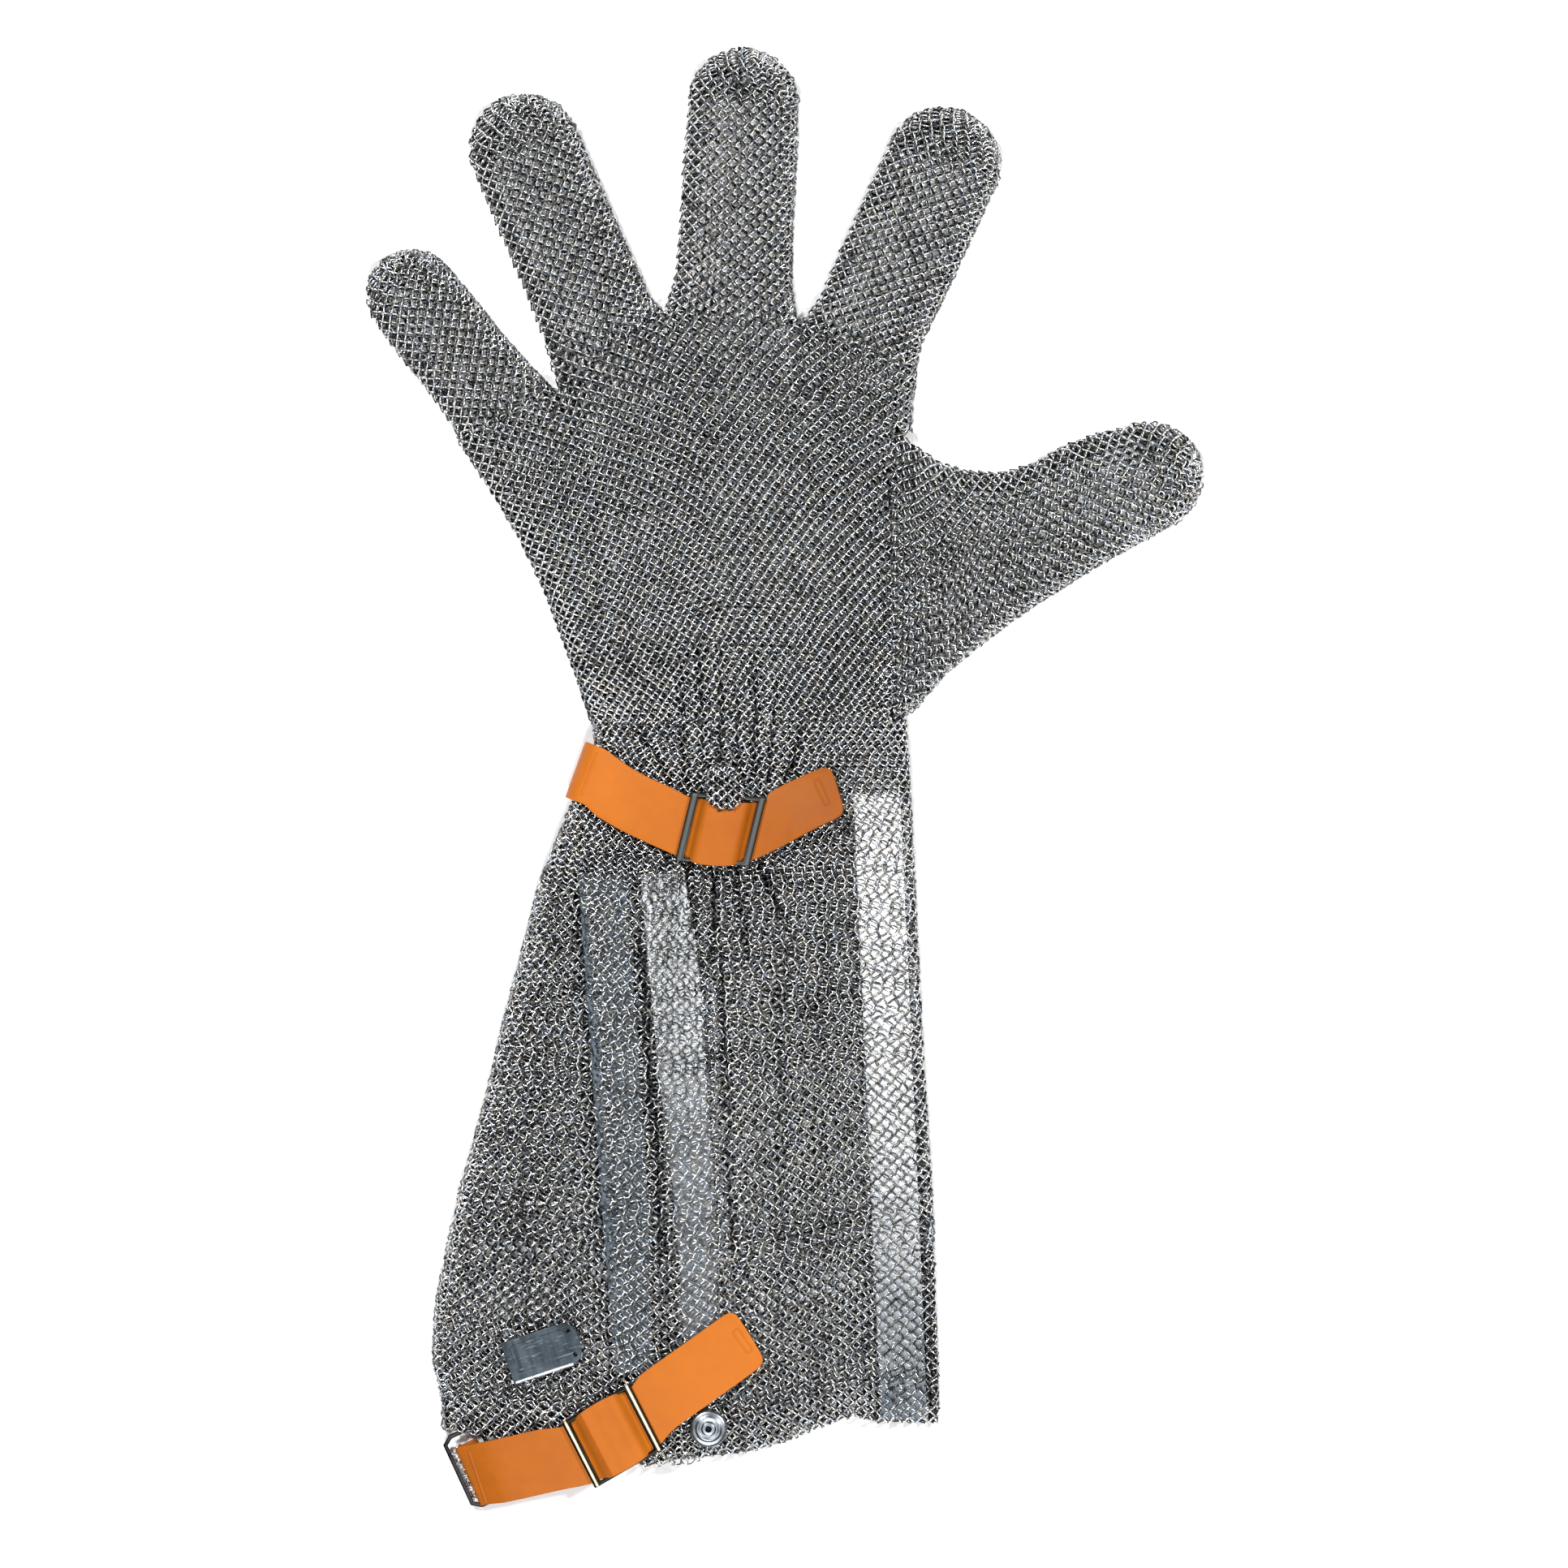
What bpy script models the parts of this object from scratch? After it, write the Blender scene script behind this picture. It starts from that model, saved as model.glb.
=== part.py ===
"""A chainmail glove with a long cuff, lying flat on its palm side.

Lengths are in millimetres until a mesh is made. X runs across the hand to the thumb, Y along it
to the fingertips, and Z up from the surface that the glove lies on.
"""
from collections import namedtuple
from math import atan2, cos, exp, hypot, pi, radians, sin, sqrt

import bmesh
import bpy
from mathutils import Matrix, Vector

MM = 0.001
OBJECT_NAME = "chainmail_glove"

WALL = 1.8          # thickness of the mail: one layer of tilted rings
GAP = 0.4           # room between neighbouring pieces
SEAM = 0.6          # room between neighbouring parts of the mail
CLEAR = 0.7         # room between the mail and what lies on or under it
ROLL_STEP = 0.29    # share of the roll's radius at which its 45 degree point lies
CAP_STEPS = (0.36, 0.66, 0.87, 0.97)   # sections across a fingertip, as shares of its radius

WRIST_Y = 18.0      # where the cuff's mail meets the hand's
THUMB_CUT_X = 33.0  # the palm is open from here outwards, where the thumb joins it
THUMB_CUT_Y = 112.0
THUMB_CUT_SIZE = 60.0

STAY_THICK = 1.5
STRAP_THICK = 1.6
BUCKLE_THICK = 1.4
BUCKLE_BAR = 2.4    # width of each bar of a slide
BUCKLE_RAIL = 1.2   # width of the two rails that join the bars
STRAP_LIFT = BUCKLE_THICK + STRAP_THICK + 2 * GAP   # how far a strap climbs over a slide's middle bar

# ---- mail: hand ----

PalmRow = namedtuple("PalmRow", "part left_x left_y right_x right_y edge crown floor")
PALM_ROWS = (
    PalmRow(0.00, -62.2, 18.0, 39.0, 18.0, 9.0, 4.0, 2.4),
    PalmRow(0.17, -66.8, 31.6, 39.4, 37.0, 9.0, 4.5, 0.0),
    PalmRow(0.34, -72.3, 47.2, 39.8, 56.0, 9.0, 4.5, 0.0),
    PalmRow(0.51, -78.2, 62.8, 40.0, 75.0, 9.0, 4.2, 0.0),
    PalmRow(0.67, -86.1, 78.4, 40.2, 93.0, 9.0, 3.8, 0.0),
    PalmRow(0.80, -93.0, 90.0, 40.3, 107.0, 9.0, 3.4, 0.0),
    PalmRow(0.91, -99.2, 99.5, 40.8, 120.0, 9.0, 3.0, 0.0),
    PalmRow(1.00, -104.8, 108.3, 42.1, 130.9, 9.0, 2.6, 0.0),
)

Knuckle = namedtuple("Knuckle", "x y")   # where two fingers part, from the little finger's outer side
KNUCKLES = (
    Knuckle(-104.8, 108.3),
    Knuckle(-72.8, 124.7),
    Knuckle(-39.0, 150.7),
    Knuckle(4.4, 146.0),
    Knuckle(42.1, 130.9),
)
VALLEY_WIDTH = 5.5      # half width of the dip between two fingers' roots
VALLEY_START = 0.78     # share of the palm's length at which the dips begin
VALLEY_TOP = 4.4
VALLEY_UNDER = 1.7

Finger = namedtuple("Finger", "name tip_x tip_y tip_radius near_half far_half edge crown")
FINGERS = (
    Finger("little_finger_mail", -119.6, 155.4, 14.8, 15.9, 15.2, 8.6, 2.4),
    Finger("ring_finger_mail", -83.5, 202.2, 17.8, 18.4, 17.9, 9.0, 2.8),
    Finger("middle_finger_mail", -13.5, 217.2, 17.5, 18.9, 18.2, 9.0, 2.8),
    Finger("index_finger_mail", 50.4, 197.4, 18.4, 17.9, 18.4, 9.0, 2.8),
)
FINGER_NEAR = 0.16      # shares of the finger's length that have a section of their own
FINGER_PARTS = (0.42, 0.72, 1.0)

ThumbRow = namedtuple("ThumbRow", "upper_x upper_y lower_x lower_y edge crown")
THUMB_ROWS = (
    ThumbRow(33.6, 111.4, 33.6, 19.0, 9.0, 1.2),
    ThumbRow(36.5, 111.4, 36.5, 19.0, 9.0, 1.4),
    ThumbRow(42.0, 107.0, 42.0, 23.0, 9.0, 2.0),
    ThumbRow(49.0, 102.2, 51.5, 34.0, 9.0, 2.6),
    ThumbRow(58.0, 99.2, 64.0, 44.4, 9.0, 3.0),
    ThumbRow(68.0, 98.5, 76.5, 53.4, 9.0, 3.0),
    ThumbRow(79.0, 101.5, 88.5, 61.4, 9.0, 3.0),
    ThumbRow(90.0, 107.6, 101.0, 69.0, 9.0, 2.8),
    ThumbRow(100.0, 111.5, 113.5, 76.0, 9.0, 2.6),
    ThumbRow(109.0, 113.2, 124.0, 82.0, 8.8, 2.4),
)

# ---- mail: cuff ----

CuffRow = namedtuple("CuffRow", "y left right edge crown floor lap")
CUFF_ROWS = (   # lap is how far the far flap runs on under the near one, at the slit
    CuffRow(-211.0, -107.4, 47.8, 6.6, 4.4, 0.0, 11.0),
    CuffRow(-203.0, -110.9, 49.6, 7.2, 4.8, 0.0, 11.0),
    CuffRow(-190.0, -113.8, 49.2, 8.0, 5.6, 0.0, 3.5),
    CuffRow(-172.0, -112.9, 48.4, 8.6, 6.0, 0.0, 3.5),
    CuffRow(-156.0, -109.6, 47.8, 9.0, 6.4, 0.0, 3.5),
    CuffRow(-139.0, -105.9, 47.3, 9.0, 6.6, 0.0, 3.5),
    CuffRow(-119.0, -101.0, 46.3, 9.0, 6.6, 0.0, 3.5),
    CuffRow(-98.0, -95.4, 44.8, 9.0, 6.4, 0.0, 3.5),
    CuffRow(-79.0, -91.2, 43.8, 9.0, 6.2, 0.0, 3.5),
    CuffRow(-60.0, -86.1, 42.8, 9.0, 5.8, 0.0, 3.5),
    CuffRow(-46.0, -82.6, 42.2, 9.0, 5.4, 0.0, 3.5),
    CuffRow(-34.0, -79.4, 41.6, 9.0, 5.0, 0.4, -0.9),
    CuffRow(-20.0, -74.0, 41.0, 9.0, 4.5, 2.4, 0.0),
    CuffRow(-12.0, -70.8, 40.7, 9.0, 4.3, 2.4, 0.0),
    CuffRow(-6.0, -68.3, 40.4, 9.0, 4.2, 2.4, 0.0),
    CuffRow(2.5, -64.8, 40.0, 9.0, 4.0, 2.4, 0.0),
    CuffRow(11.0, -61.6, 39.4, 9.0, 4.0, 2.4, 0.0),
    CuffRow(17.4, -62.0, 39.0, 9.0, 4.0, 2.4, 0.0),
)
FLAP_LIFT = 1.4         # the near flap rises and the far one drops by this much at the slit
FLAP_START = (-24.0, -34.0)   # over which the two flaps part
FLAP_RAMP = 8.0         # width over which a flap returns to the sheet's own height

LinePoint = namedtuple("LinePoint", "y x")
SLIT = (
    LinePoint(-219.0, -20.0),
    LinePoint(-207.0, -19.2),
    LinePoint(-192.0, -17.7),
    LinePoint(-166.0, -16.6),
    LinePoint(-133.0, -18.6),
    LinePoint(-98.0, -20.6),
    LinePoint(-62.0, -21.8),
    LinePoint(-28.0, -23.0),
    LinePoint(18.0, -23.0),
)

Crease = namedtuple("Crease", "top_y top_x foot_y foot_x width depth")
CREASES = (
    Crease(-18.0, -68.4, -205.0, -53.5, 4.0, 1.9),
    Crease(-18.0, -47.4, -205.0, -36.0, 3.2, 1.0),
    Crease(-60.0, -1.0, -190.0, -2.4, 4.0, 0.9),
)
CREASE_FADE = 14.0      # length over which a crease dies away at its ends
CREASE_COLUMNS = (6.0, 4.0, 3.0)   # how far each side of a crease the mesh has a column

HEM_LEFT = (            # foot of the near flap
    LinePoint(-209.6, -107.4),
    LinePoint(-211.6, -96.0),
    LinePoint(-212.4, -85.0),
    LinePoint(-213.0, -70.0),
    LinePoint(-215.0, -58.0),
    LinePoint(-218.6, -46.0),
    LinePoint(-218.0, -31.0),
    LinePoint(-215.4, -24.2),
    LinePoint(-211.2, -19.4),
)
HEM_RIGHT = (           # foot of the far flap
    LinePoint(-214.4, -31.0),
    LinePoint(-215.4, -16.4),
    LinePoint(-214.0, -7.3),
    LinePoint(-211.5, 1.8),
    LinePoint(-206.4, 16.1),
    LinePoint(-205.2, 23.9),
    LinePoint(-207.0, 30.4),
    LinePoint(-207.2, 47.8),
)

HEM_SHORT = 3.2         # the underside's hem stops this far short of the front's

# ---- stays ----

StayRow = namedtuple("StayRow", "y left right")
STAYS = {
    "thumb_side_stay": (
        StayRow(-205.0, 30.8, 45.4),
        StayRow(-104.0, 26.3, 41.2),
        StayRow(-4.5, 21.9, 36.6),
    ),
    "slit_stay": (
        StayRow(-188.0, -32.0, -22.0),
        StayRow(-140.0, -35.0, -22.6),
        StayRow(-98.0, -40.0, -25.2),
        StayRow(-62.0, -43.6, -27.6),
        StayRow(-30.0, -46.4, -32.6),
    ),
    "outer_stay": (
        StayRow(-190.0, -54.6, -43.0),
        StayRow(-132.0, -59.2, -44.4),
        StayRow(-70.0, -63.6, -48.6),
        StayRow(-30.0, -66.6, -51.6),
    ),
}
STAY_STEP = 20.0
STAY_CLEAR = 1.1        # room between a stay and the mail over it

# ---- straps, slides, loop, stud and plate ----

Slide = namedtuple("Slide", "name x y heading reach strap_width")
WRIST_SLIDE = Slide("wrist_buckle", -20.7, -15.6, -4.0, 10.75, 19.0)
FOREARM_SLIDE = Slide("forearm_buckle", -55.4, -209.3, 30.5, 11.45, 20.4)

StrapPoint = namedtuple("StrapPoint", "x y heading roll")
WRIST_FOLD = StrapPoint(-67.6, 3.6, -20.0, 0.0)     # outermost point of its turn round the wrist
WRIST_TOP = StrapPoint(-63.0, 1.0, -20.0, 0.0)      # where that turn has reached the upper side
WRIST_UNDER = 38.0      # how far it runs back under the wrist
WRIST_BEFORE = (
    StrapPoint(-56.0, -3.0, -31.0, 0.0),
    StrapPoint(-49.0, -7.2, -27.0, 0.0),
    StrapPoint(-41.0, -11.0, -20.0, 0.0),
)
WRIST_AFTER = (
    StrapPoint(-4.5, -13.0, 18.0, 5.0),
    StrapPoint(1.0, -9.6, 24.0, 12.0),
    StrapPoint(8.0, -5.9, 25.0, 18.0),
    StrapPoint(14.3, -3.0, 25.0, 20.0),
)
FOREARM_FOLD = StrapPoint(-102.2, -223.7, 24.0, 0.0)    # outermost point of its turn round the loop
FOREARM_BEFORE = (
    StrapPoint(-92.6, -221.3, 16.0, 0.0),
    StrapPoint(-84.0, -219.3, 14.0, 0.0),
    StrapPoint(-76.0, -217.4, 18.0, 0.0),
)
FOREARM_AFTER = (
    StrapPoint(-41.4, -198.6, 35.3, 0.0),
    StrapPoint(-31.0, -191.2, 35.3, 0.0),
    StrapPoint(-21.0, -184.0, 35.3, 0.0),
    StrapPoint(-11.6, -177.2, 35.3, 0.0),
)
REST_REACH = 4.0        # a strap's height at a point clears the mail this far each way along it
TAIL_ROUND = ((3.0, 0.0), (1.0, 0.9), (0.0, 2.8))   # distance from the tail's end, and what each side loses

LOOP_WIRE = 1.4
LOOP_LENGTH = 22.6      # between the middles of its short sides
LOOP_WIDTH = 6.4        # between the middles of its long sides
LOOP_CORNER = 1.6
LOOP_Z = 4.0
FOREARM_UNDER = 5.0     # how far the strap runs back under the loop

STUD_X, STUD_Y = -24.6, -207.1
STUD_STEM = 1.7         # radii
STUD_HOLE = 2.2
STUD_REACH = 7.0        # the holes for its stem are cut this far up and down from between the flaps
STUD_FOOT, STUD_FOOT_THICK = 3.4, 0.8
StudRing = namedtuple("StudRing", "radius height")
STUD_CAP = (            # the cap's profile outwards from its eyelet, heights above its foot
    StudRing(0.9, 0.9),
    StudRing(0.9, 2.2),
    StudRing(2.0, 2.3),
    StudRing(2.4, 1.4),
    StudRing(3.6, 1.6),
    StudRing(4.2, 1.2),
    StudRing(5.4, 1.0),
    StudRing(6.0, 0.5),
    StudRing(5.9, 0.0),
)
STUD_TURNS = 28

PLATE_X, PLATE_Y, PLATE_TURN = -77.4, -182.6, 18.5
PLATE_LENGTH, PLATE_WIDTH, PLATE_THICK = 24.4, 13.8, 0.9
PLATE_CORNER = 5.0      # radius of its two rounded corners
PLATE_HOLE = 0.8


Finish = namedtuple("Finish", "colour roughness metallic")
FINISHES = {
    "mail_steel": Finish((0.46, 0.47, 0.48), 0.34, 1.0),
    "stay_white": Finish((0.84, 0.86, 0.88), 0.45, 0.0),
    "stay_grey": Finish((0.30, 0.36, 0.42), 0.5, 0.0),
    "strap_orange": Finish((0.78, 0.20, 0.03), 0.45, 0.0),
    "buckle_steel": Finish((0.16, 0.16, 0.165), 0.36, 1.0),
    "loop_black": Finish((0.03, 0.03, 0.035), 0.4, 1.0),
    "stud_steel": Finish((0.55, 0.60, 0.64), 0.32, 1.0),
    "plate_steel": Finish((0.26, 0.31, 0.35), 0.38, 1.0),
}


# ---- small helpers ----

def smooth(rows, key, value, at):
    """A named column of a table at any place between its rows, as a smooth curve through them."""
    keys = [getattr(row, key) for row in rows]
    values = [getattr(row, value) for row in rows]
    if keys[0] > keys[-1]:
        keys.reverse()
        values.reverse()
    at = min(max(at, keys[0]), keys[-1])
    i = max(k for k in range(len(keys) - 1) if keys[k] <= at)
    span = keys[i + 1] - keys[i]

    def slope(k):
        if k in (0, len(keys) - 1):
            near = min(k, len(keys) - 2)
            return (values[near + 1] - values[near]) / (keys[near + 1] - keys[near])
        return (values[k + 1] - values[k - 1]) / (keys[k + 1] - keys[k - 1])

    t = (at - keys[i]) / span
    return (values[i] * (1 + 2 * t) * (1 - t) ** 2 + values[i + 1] * t * t * (3 - 2 * t)
            + span * (slope(i) * t * (1 - t) ** 2 - slope(i + 1) * t * t * (1 - t)))


def straight(rows, key, value, at):
    """The same column read along straight lines."""
    pairs = sorted((getattr(row, key), getattr(row, value)) for row in rows)
    at = min(max(at, pairs[0][0]), pairs[-1][0])
    for (k0, v0), (k1, v1) in zip(pairs, pairs[1:]):
        if at <= k1:
            return v0 + (v1 - v0) * (at - k0) / (k1 - k0)
    return pairs[-1][1]


def ramp(value, start, end):
    """0 at start and before, 1 at end and after, with soft ends."""
    t = min(max((value - start) / (end - start), 0.0), 1.0)
    return t * t * (3 - 2 * t)


def roll(distance, radius):
    """How far a sheet's rolled edge stands from its mid height, at a distance in from the outline."""
    left = max(radius - distance, 0.0)
    return sqrt(max(radius * radius - left * left, 0.0))


def direction(heading):
    return Vector((cos(radians(heading)), sin(radians(heading)), 0.0))


def side(heading):
    """The way to the left of a heading."""
    return Vector((-sin(radians(heading)), cos(radians(heading)), 0.0))


def finish(name):
    material = bpy.data.materials.get(name)
    if material:
        return material
    material = bpy.data.materials.new(name)
    material.use_nodes = True
    shader = material.node_tree.nodes["Principled BSDF"]
    shader.inputs["Base Color"].default_value = (*FINISHES[name].colour, 1.0)
    shader.inputs["Roughness"].default_value = FINISHES[name].roughness
    shader.inputs["Metallic"].default_value = FINISHES[name].metallic
    return material


def add_object(name, data, material, collection):
    thing = bpy.data.objects.new(name, data)
    collection.objects.link(thing)
    if material:
        data.materials.append(finish(material))
    return thing


def loft(name, rows, material, tip=None, closed_loop=True):
    """Joins sections, each a list of points in the same order, and closes on a tip if there is one."""
    mesh = bmesh.new()
    grid = [[mesh.verts.new(Vector(point) * MM) for point in row] for row in rows]
    for near, far in zip(grid, grid[1:]):
        count = len(near)
        for p in range(count if closed_loop else count - 1):
            q = (p + 1) % count
            mesh.faces.new((near[p], near[q], far[q], far[p]))
    if tip:
        end = mesh.verts.new(Vector(tip) * MM)
        last = grid[-1]
        for p, vert in enumerate(last):
            mesh.faces.new((vert, last[(p + 1) % len(last)], end))
    bmesh.ops.remove_doubles(mesh, verts=mesh.verts, dist=0.01 * MM)
    data = bpy.data.meshes.new(name)
    mesh.to_mesh(data)
    mesh.free()
    data.shade_smooth()
    return add_object(name, data, material, PARTS)


def add_wall(thing, thickness, outwards=False):
    wall = thing.modifiers.new("wall", "SOLIDIFY")
    wall.thickness = thickness * MM
    wall.offset = 1.0 if outwards else -1.0


def cut_with_new(thing, name):
    """Takes the primitive just added away from a piece, and keeps it with the cutters."""
    cutter = bpy.context.object
    cutter.name = name
    for collection in list(cutter.users_collection):
        collection.objects.unlink(cutter)
    CUTTERS.objects.link(cutter)
    cutter.hide_render = True
    cutter.display_type = "WIRE"
    hole = thing.modifiers.new("cut", "BOOLEAN")
    hole.operation = "DIFFERENCE"
    hole.object = cutter


def outline_plate(name, outlines, thickness, material):
    """A flat plate from closed outlines in its own plane, the first outside and the others its holes."""
    curve = bpy.data.curves.new(name, "CURVE")
    curve.dimensions = "2D"
    curve.fill_mode = "BOTH"
    curve.extrude = thickness / 2 * MM
    for outline in outlines:
        spline = curve.splines.new("POLY")
        spline.points.add(len(outline) - 1)
        for point, (x, y) in zip(spline.points, outline):
            point.co = (x * MM, y * MM, 0.0, 1.0)
        spline.use_cyclic_u = True
    return add_object(name, curve, material, PARTS)


def rectangle(x0, y0, x1, y1):
    return [(x0, y0), (x1, y0), (x1, y1), (x0, y1)]


def circle(x, y, radius, count):
    angles = [2 * pi * k / count for k in range(count)]
    return [(x + radius * cos(angle), y + radius * sin(angle)) for angle in angles]


# ---- mail ----

def across(half, radius, interior):
    """Places across a section, from one edge to the other: close together where it rolls over."""
    reach = min(radius, 0.45 * half)
    edge = [0.0, ROLL_STEP * reach, reach]
    inner = [reach + (2 * half - 2 * reach) * (k + 1) / (interior + 1) for k in range(interior)]
    return [d - half for d in edge + inner + [2 * half - d for d in reversed(edge)]]


def tube_section(left, right, edge, crown, ahead=0.0, reach=None):
    """One loop round a flattened tube. ahead and reach say how far past the tip's middle it lies."""
    left, right = Vector((*left, 0.0)), Vector((*right, 0.0))
    middle, half = (left + right) / 2, (right - left).length / 2
    aside = (right - left) / (2 * half)
    radius, full = edge / 2, reach or half
    top, under = [], []
    for u in across(half, radius, 2):
        from_middle = hypot(u, ahead)
        lift = roll(full - from_middle, radius)
        place = middle + aside * u
        top.append((place.x, place.y, radius + lift + crown * (1 - (from_middle / full) ** 2)))
        under.append((place.x, place.y, radius - lift))
    return top + under[-2:0:-1]


def tube_cap(left, right, edge, crown):
    """The sections of a half-round tip beyond the last full one, and its end point."""
    left, right = Vector((*left, 0.0)), Vector((*right, 0.0))
    middle, reach = (left + right) / 2, (right - left).length / 2
    aside = (right - left) / (2 * reach)
    forward = Vector((-aside.y, aside.x, 0.0))
    rows = []
    for step in CAP_STEPS:
        centre, half = middle + forward * reach * step, reach * sqrt(1 - step * step)
        rows.append(tube_section((centre - aside * half).xy, (centre + aside * half).xy,
                                 edge, crown, reach * step, reach))
    end = middle + forward * reach
    return rows, (end.x, end.y, edge / 2)


def make_tube(name, edges, profile):
    """A finger of mail through pairs of outline points, with a row's edge height and crown for each."""
    rows = [tube_section(left, right, edge, crown) for (left, right), (edge, crown) in zip(edges, profile)]
    cap, end = tube_cap(*edges[-1], *profile[-1])
    tube = loft(name, rows + cap, "mail_steel", tip=end)
    add_wall(tube, WALL)
    return tube


def make_finger(finger, left, right):
    """One finger, from its two root points to its round tip."""
    root_left, root_right = Vector((*left, 0.0)), Vector((*right, 0.0))
    root = (root_left + root_right) / 2
    tip = Vector((finger.tip_x, finger.tip_y, 0.0))
    forward = (tip - root).normalized()
    aside = Vector((forward.y, -forward.x, 0.0))
    base = (root_right - root_left).normalized()
    out = Vector((-base.y, base.x, 0.0)) * SEAM
    edges = [((root_left + out + base * SEAM / 2).xy, (root_right + out - base * SEAM / 2).xy)]
    halves = {FINGER_NEAR: finger.near_half, 1.0: finger.tip_radius}
    for part in (FINGER_NEAR, *FINGER_PARTS):
        half = halves.get(part, finger.far_half)
        middle = root + (tip - root) * part
        edges.append(((middle - aside * half).xy, (middle + aside * half).xy))
    return make_tube(finger.name, edges, [(finger.edge, finger.crown)] * len(edges))


def make_thumb():
    edges = [((row.upper_x, row.upper_y), (row.lower_x, row.lower_y)) for row in THUMB_ROWS]
    return make_tube("thumb_mail", edges, [(row.edge, row.crown) for row in THUMB_ROWS])


def knuckle_shares():
    """Where each knuckle lies along the line through them all, from 0 to 1, and that line's length."""
    steps = [hypot(b.x - a.x, b.y - a.y) for a, b in zip(KNUCKLES, KNUCKLES[1:])]
    total = sum(steps)
    return [sum(steps[:k]) / total for k in range(len(KNUCKLES))], total


def palm_place(share, part):
    """The point of the palm's outline patch at a share across and a part of the way to the knuckles."""
    shares, _ = knuckle_shares()
    i = max(k for k in range(len(shares) - 1) if shares[k] <= share)
    t = (share - shares[i]) / (shares[i + 1] - shares[i])
    first, last = PALM_ROWS[0], PALM_ROWS[-1]
    place = []
    for axis in "xy":
        left, right = "left_" + axis, "right_" + axis
        knuckle = getattr(KNUCKLES[i], axis) * (1 - t) + getattr(KNUCKLES[i + 1], axis) * t
        sides = (smooth(PALM_ROWS, "part", left, part) * (1 - share)
                 + smooth(PALM_ROWS, "part", right, part) * share)
        chord = getattr(last, left) * (1 - share) + getattr(last, right) * share
        place.append(sides + part * (knuckle - chord))
    return Vector((*place, 0.0))


def palm_section(row):
    shares, width = knuckle_shares()
    here = (palm_place(1.0, row.part) - palm_place(0.0, row.part)).length
    radius = row.edge / 2
    edge = [0.0, ROLL_STEP * radius / here, radius / here]
    places = list(edge)
    for a, b in zip(shares, shares[1:]):
        places.append((a + b) / 2)
        if b < 1.0:
            places += [b - VALLEY_WIDTH / width, b, b + VALLEY_WIDTH / width]
    places += [1 - share for share in reversed(edge)]
    top, under = [], []
    fade = ramp(row.part, VALLEY_START, 1.0)
    for share in places:
        place = palm_place(share, row.part)
        lift = roll(min(share, 1 - share) * here, radius)
        valley = fade * sum(exp(-((share - s) * width / VALLEY_WIDTH) ** 2) for s in shares[1:-1])
        crown = row.crown * (1 - (2 * share - 1) ** 2)
        top.append((place.x, place.y, row.floor + radius + lift + crown - VALLEY_TOP * valley))
        under.append((place.x, place.y, row.floor + radius - lift + VALLEY_UNDER * valley))
    return top + under[-2:0:-1]


def make_palm():
    palm = loft("palm_mail", [palm_section(row) for row in PALM_ROWS], "mail_steel")
    add_wall(palm, WALL)
    depth = THUMB_CUT_Y - WRIST_Y + 20.0
    bpy.ops.mesh.primitive_cube_add(size=1.0)
    block = bpy.context.object
    block.scale = (THUMB_CUT_SIZE * MM, depth * MM, THUMB_CUT_SIZE * MM)
    block.location = ((THUMB_CUT_X + THUMB_CUT_SIZE / 2) * MM, (THUMB_CUT_Y - depth / 2) * MM, 0.0)
    cut_with_new(palm, "thumb_cutter")


def crease_line(crease, y):
    t = (y - crease.foot_y) / (crease.top_y - crease.foot_y)
    return crease.foot_x + (crease.top_x - crease.foot_x) * t


def crease_depth(x, y):
    """How far the cuff's long creases dent it at a place."""
    total = 0.0
    for crease in CREASES:
        ends = (ramp(y, crease.foot_y - CREASE_FADE, crease.foot_y)
                * (1 - ramp(y, crease.top_y, crease.top_y + CREASE_FADE)))
        total += crease.depth * ends * exp(-((x - crease_line(crease, y)) / crease.width) ** 2)
    return total


def slit_x(y):
    return smooth(SLIT, "y", "x", y)


def cuff_value(name, y):
    return smooth(CUFF_ROWS, "y", name, y)


def cuff_top(x, y, near_flap=None):
    """Height of the cuff's outer face. near_flap picks a side of the slit, or is worked out from x."""
    left, right = cuff_value("left", y), cuff_value("right", y)
    radius, slit = cuff_value("edge", y) / 2, slit_x(y)
    lap = straight(CUFF_ROWS, "y", "lap", y)
    share = (x - left) / (right - left)
    height = cuff_value("floor", y) + radius + roll(min(x - left, right - x), radius)
    height += cuff_value("crown", y) * (1 - (2 * share - 1) ** 2) - crease_depth(x, y)
    parted = FLAP_LIFT * ramp(y, *FLAP_START)
    if near_flap is None:
        near_flap = x <= slit
    if near_flap:
        return height + parted * ramp(x, slit - max(lap, 0.0) - FLAP_RAMP, slit - max(lap, 0.0))
    return height - parted * (1 - ramp(x, slit, slit + FLAP_RAMP))


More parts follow.
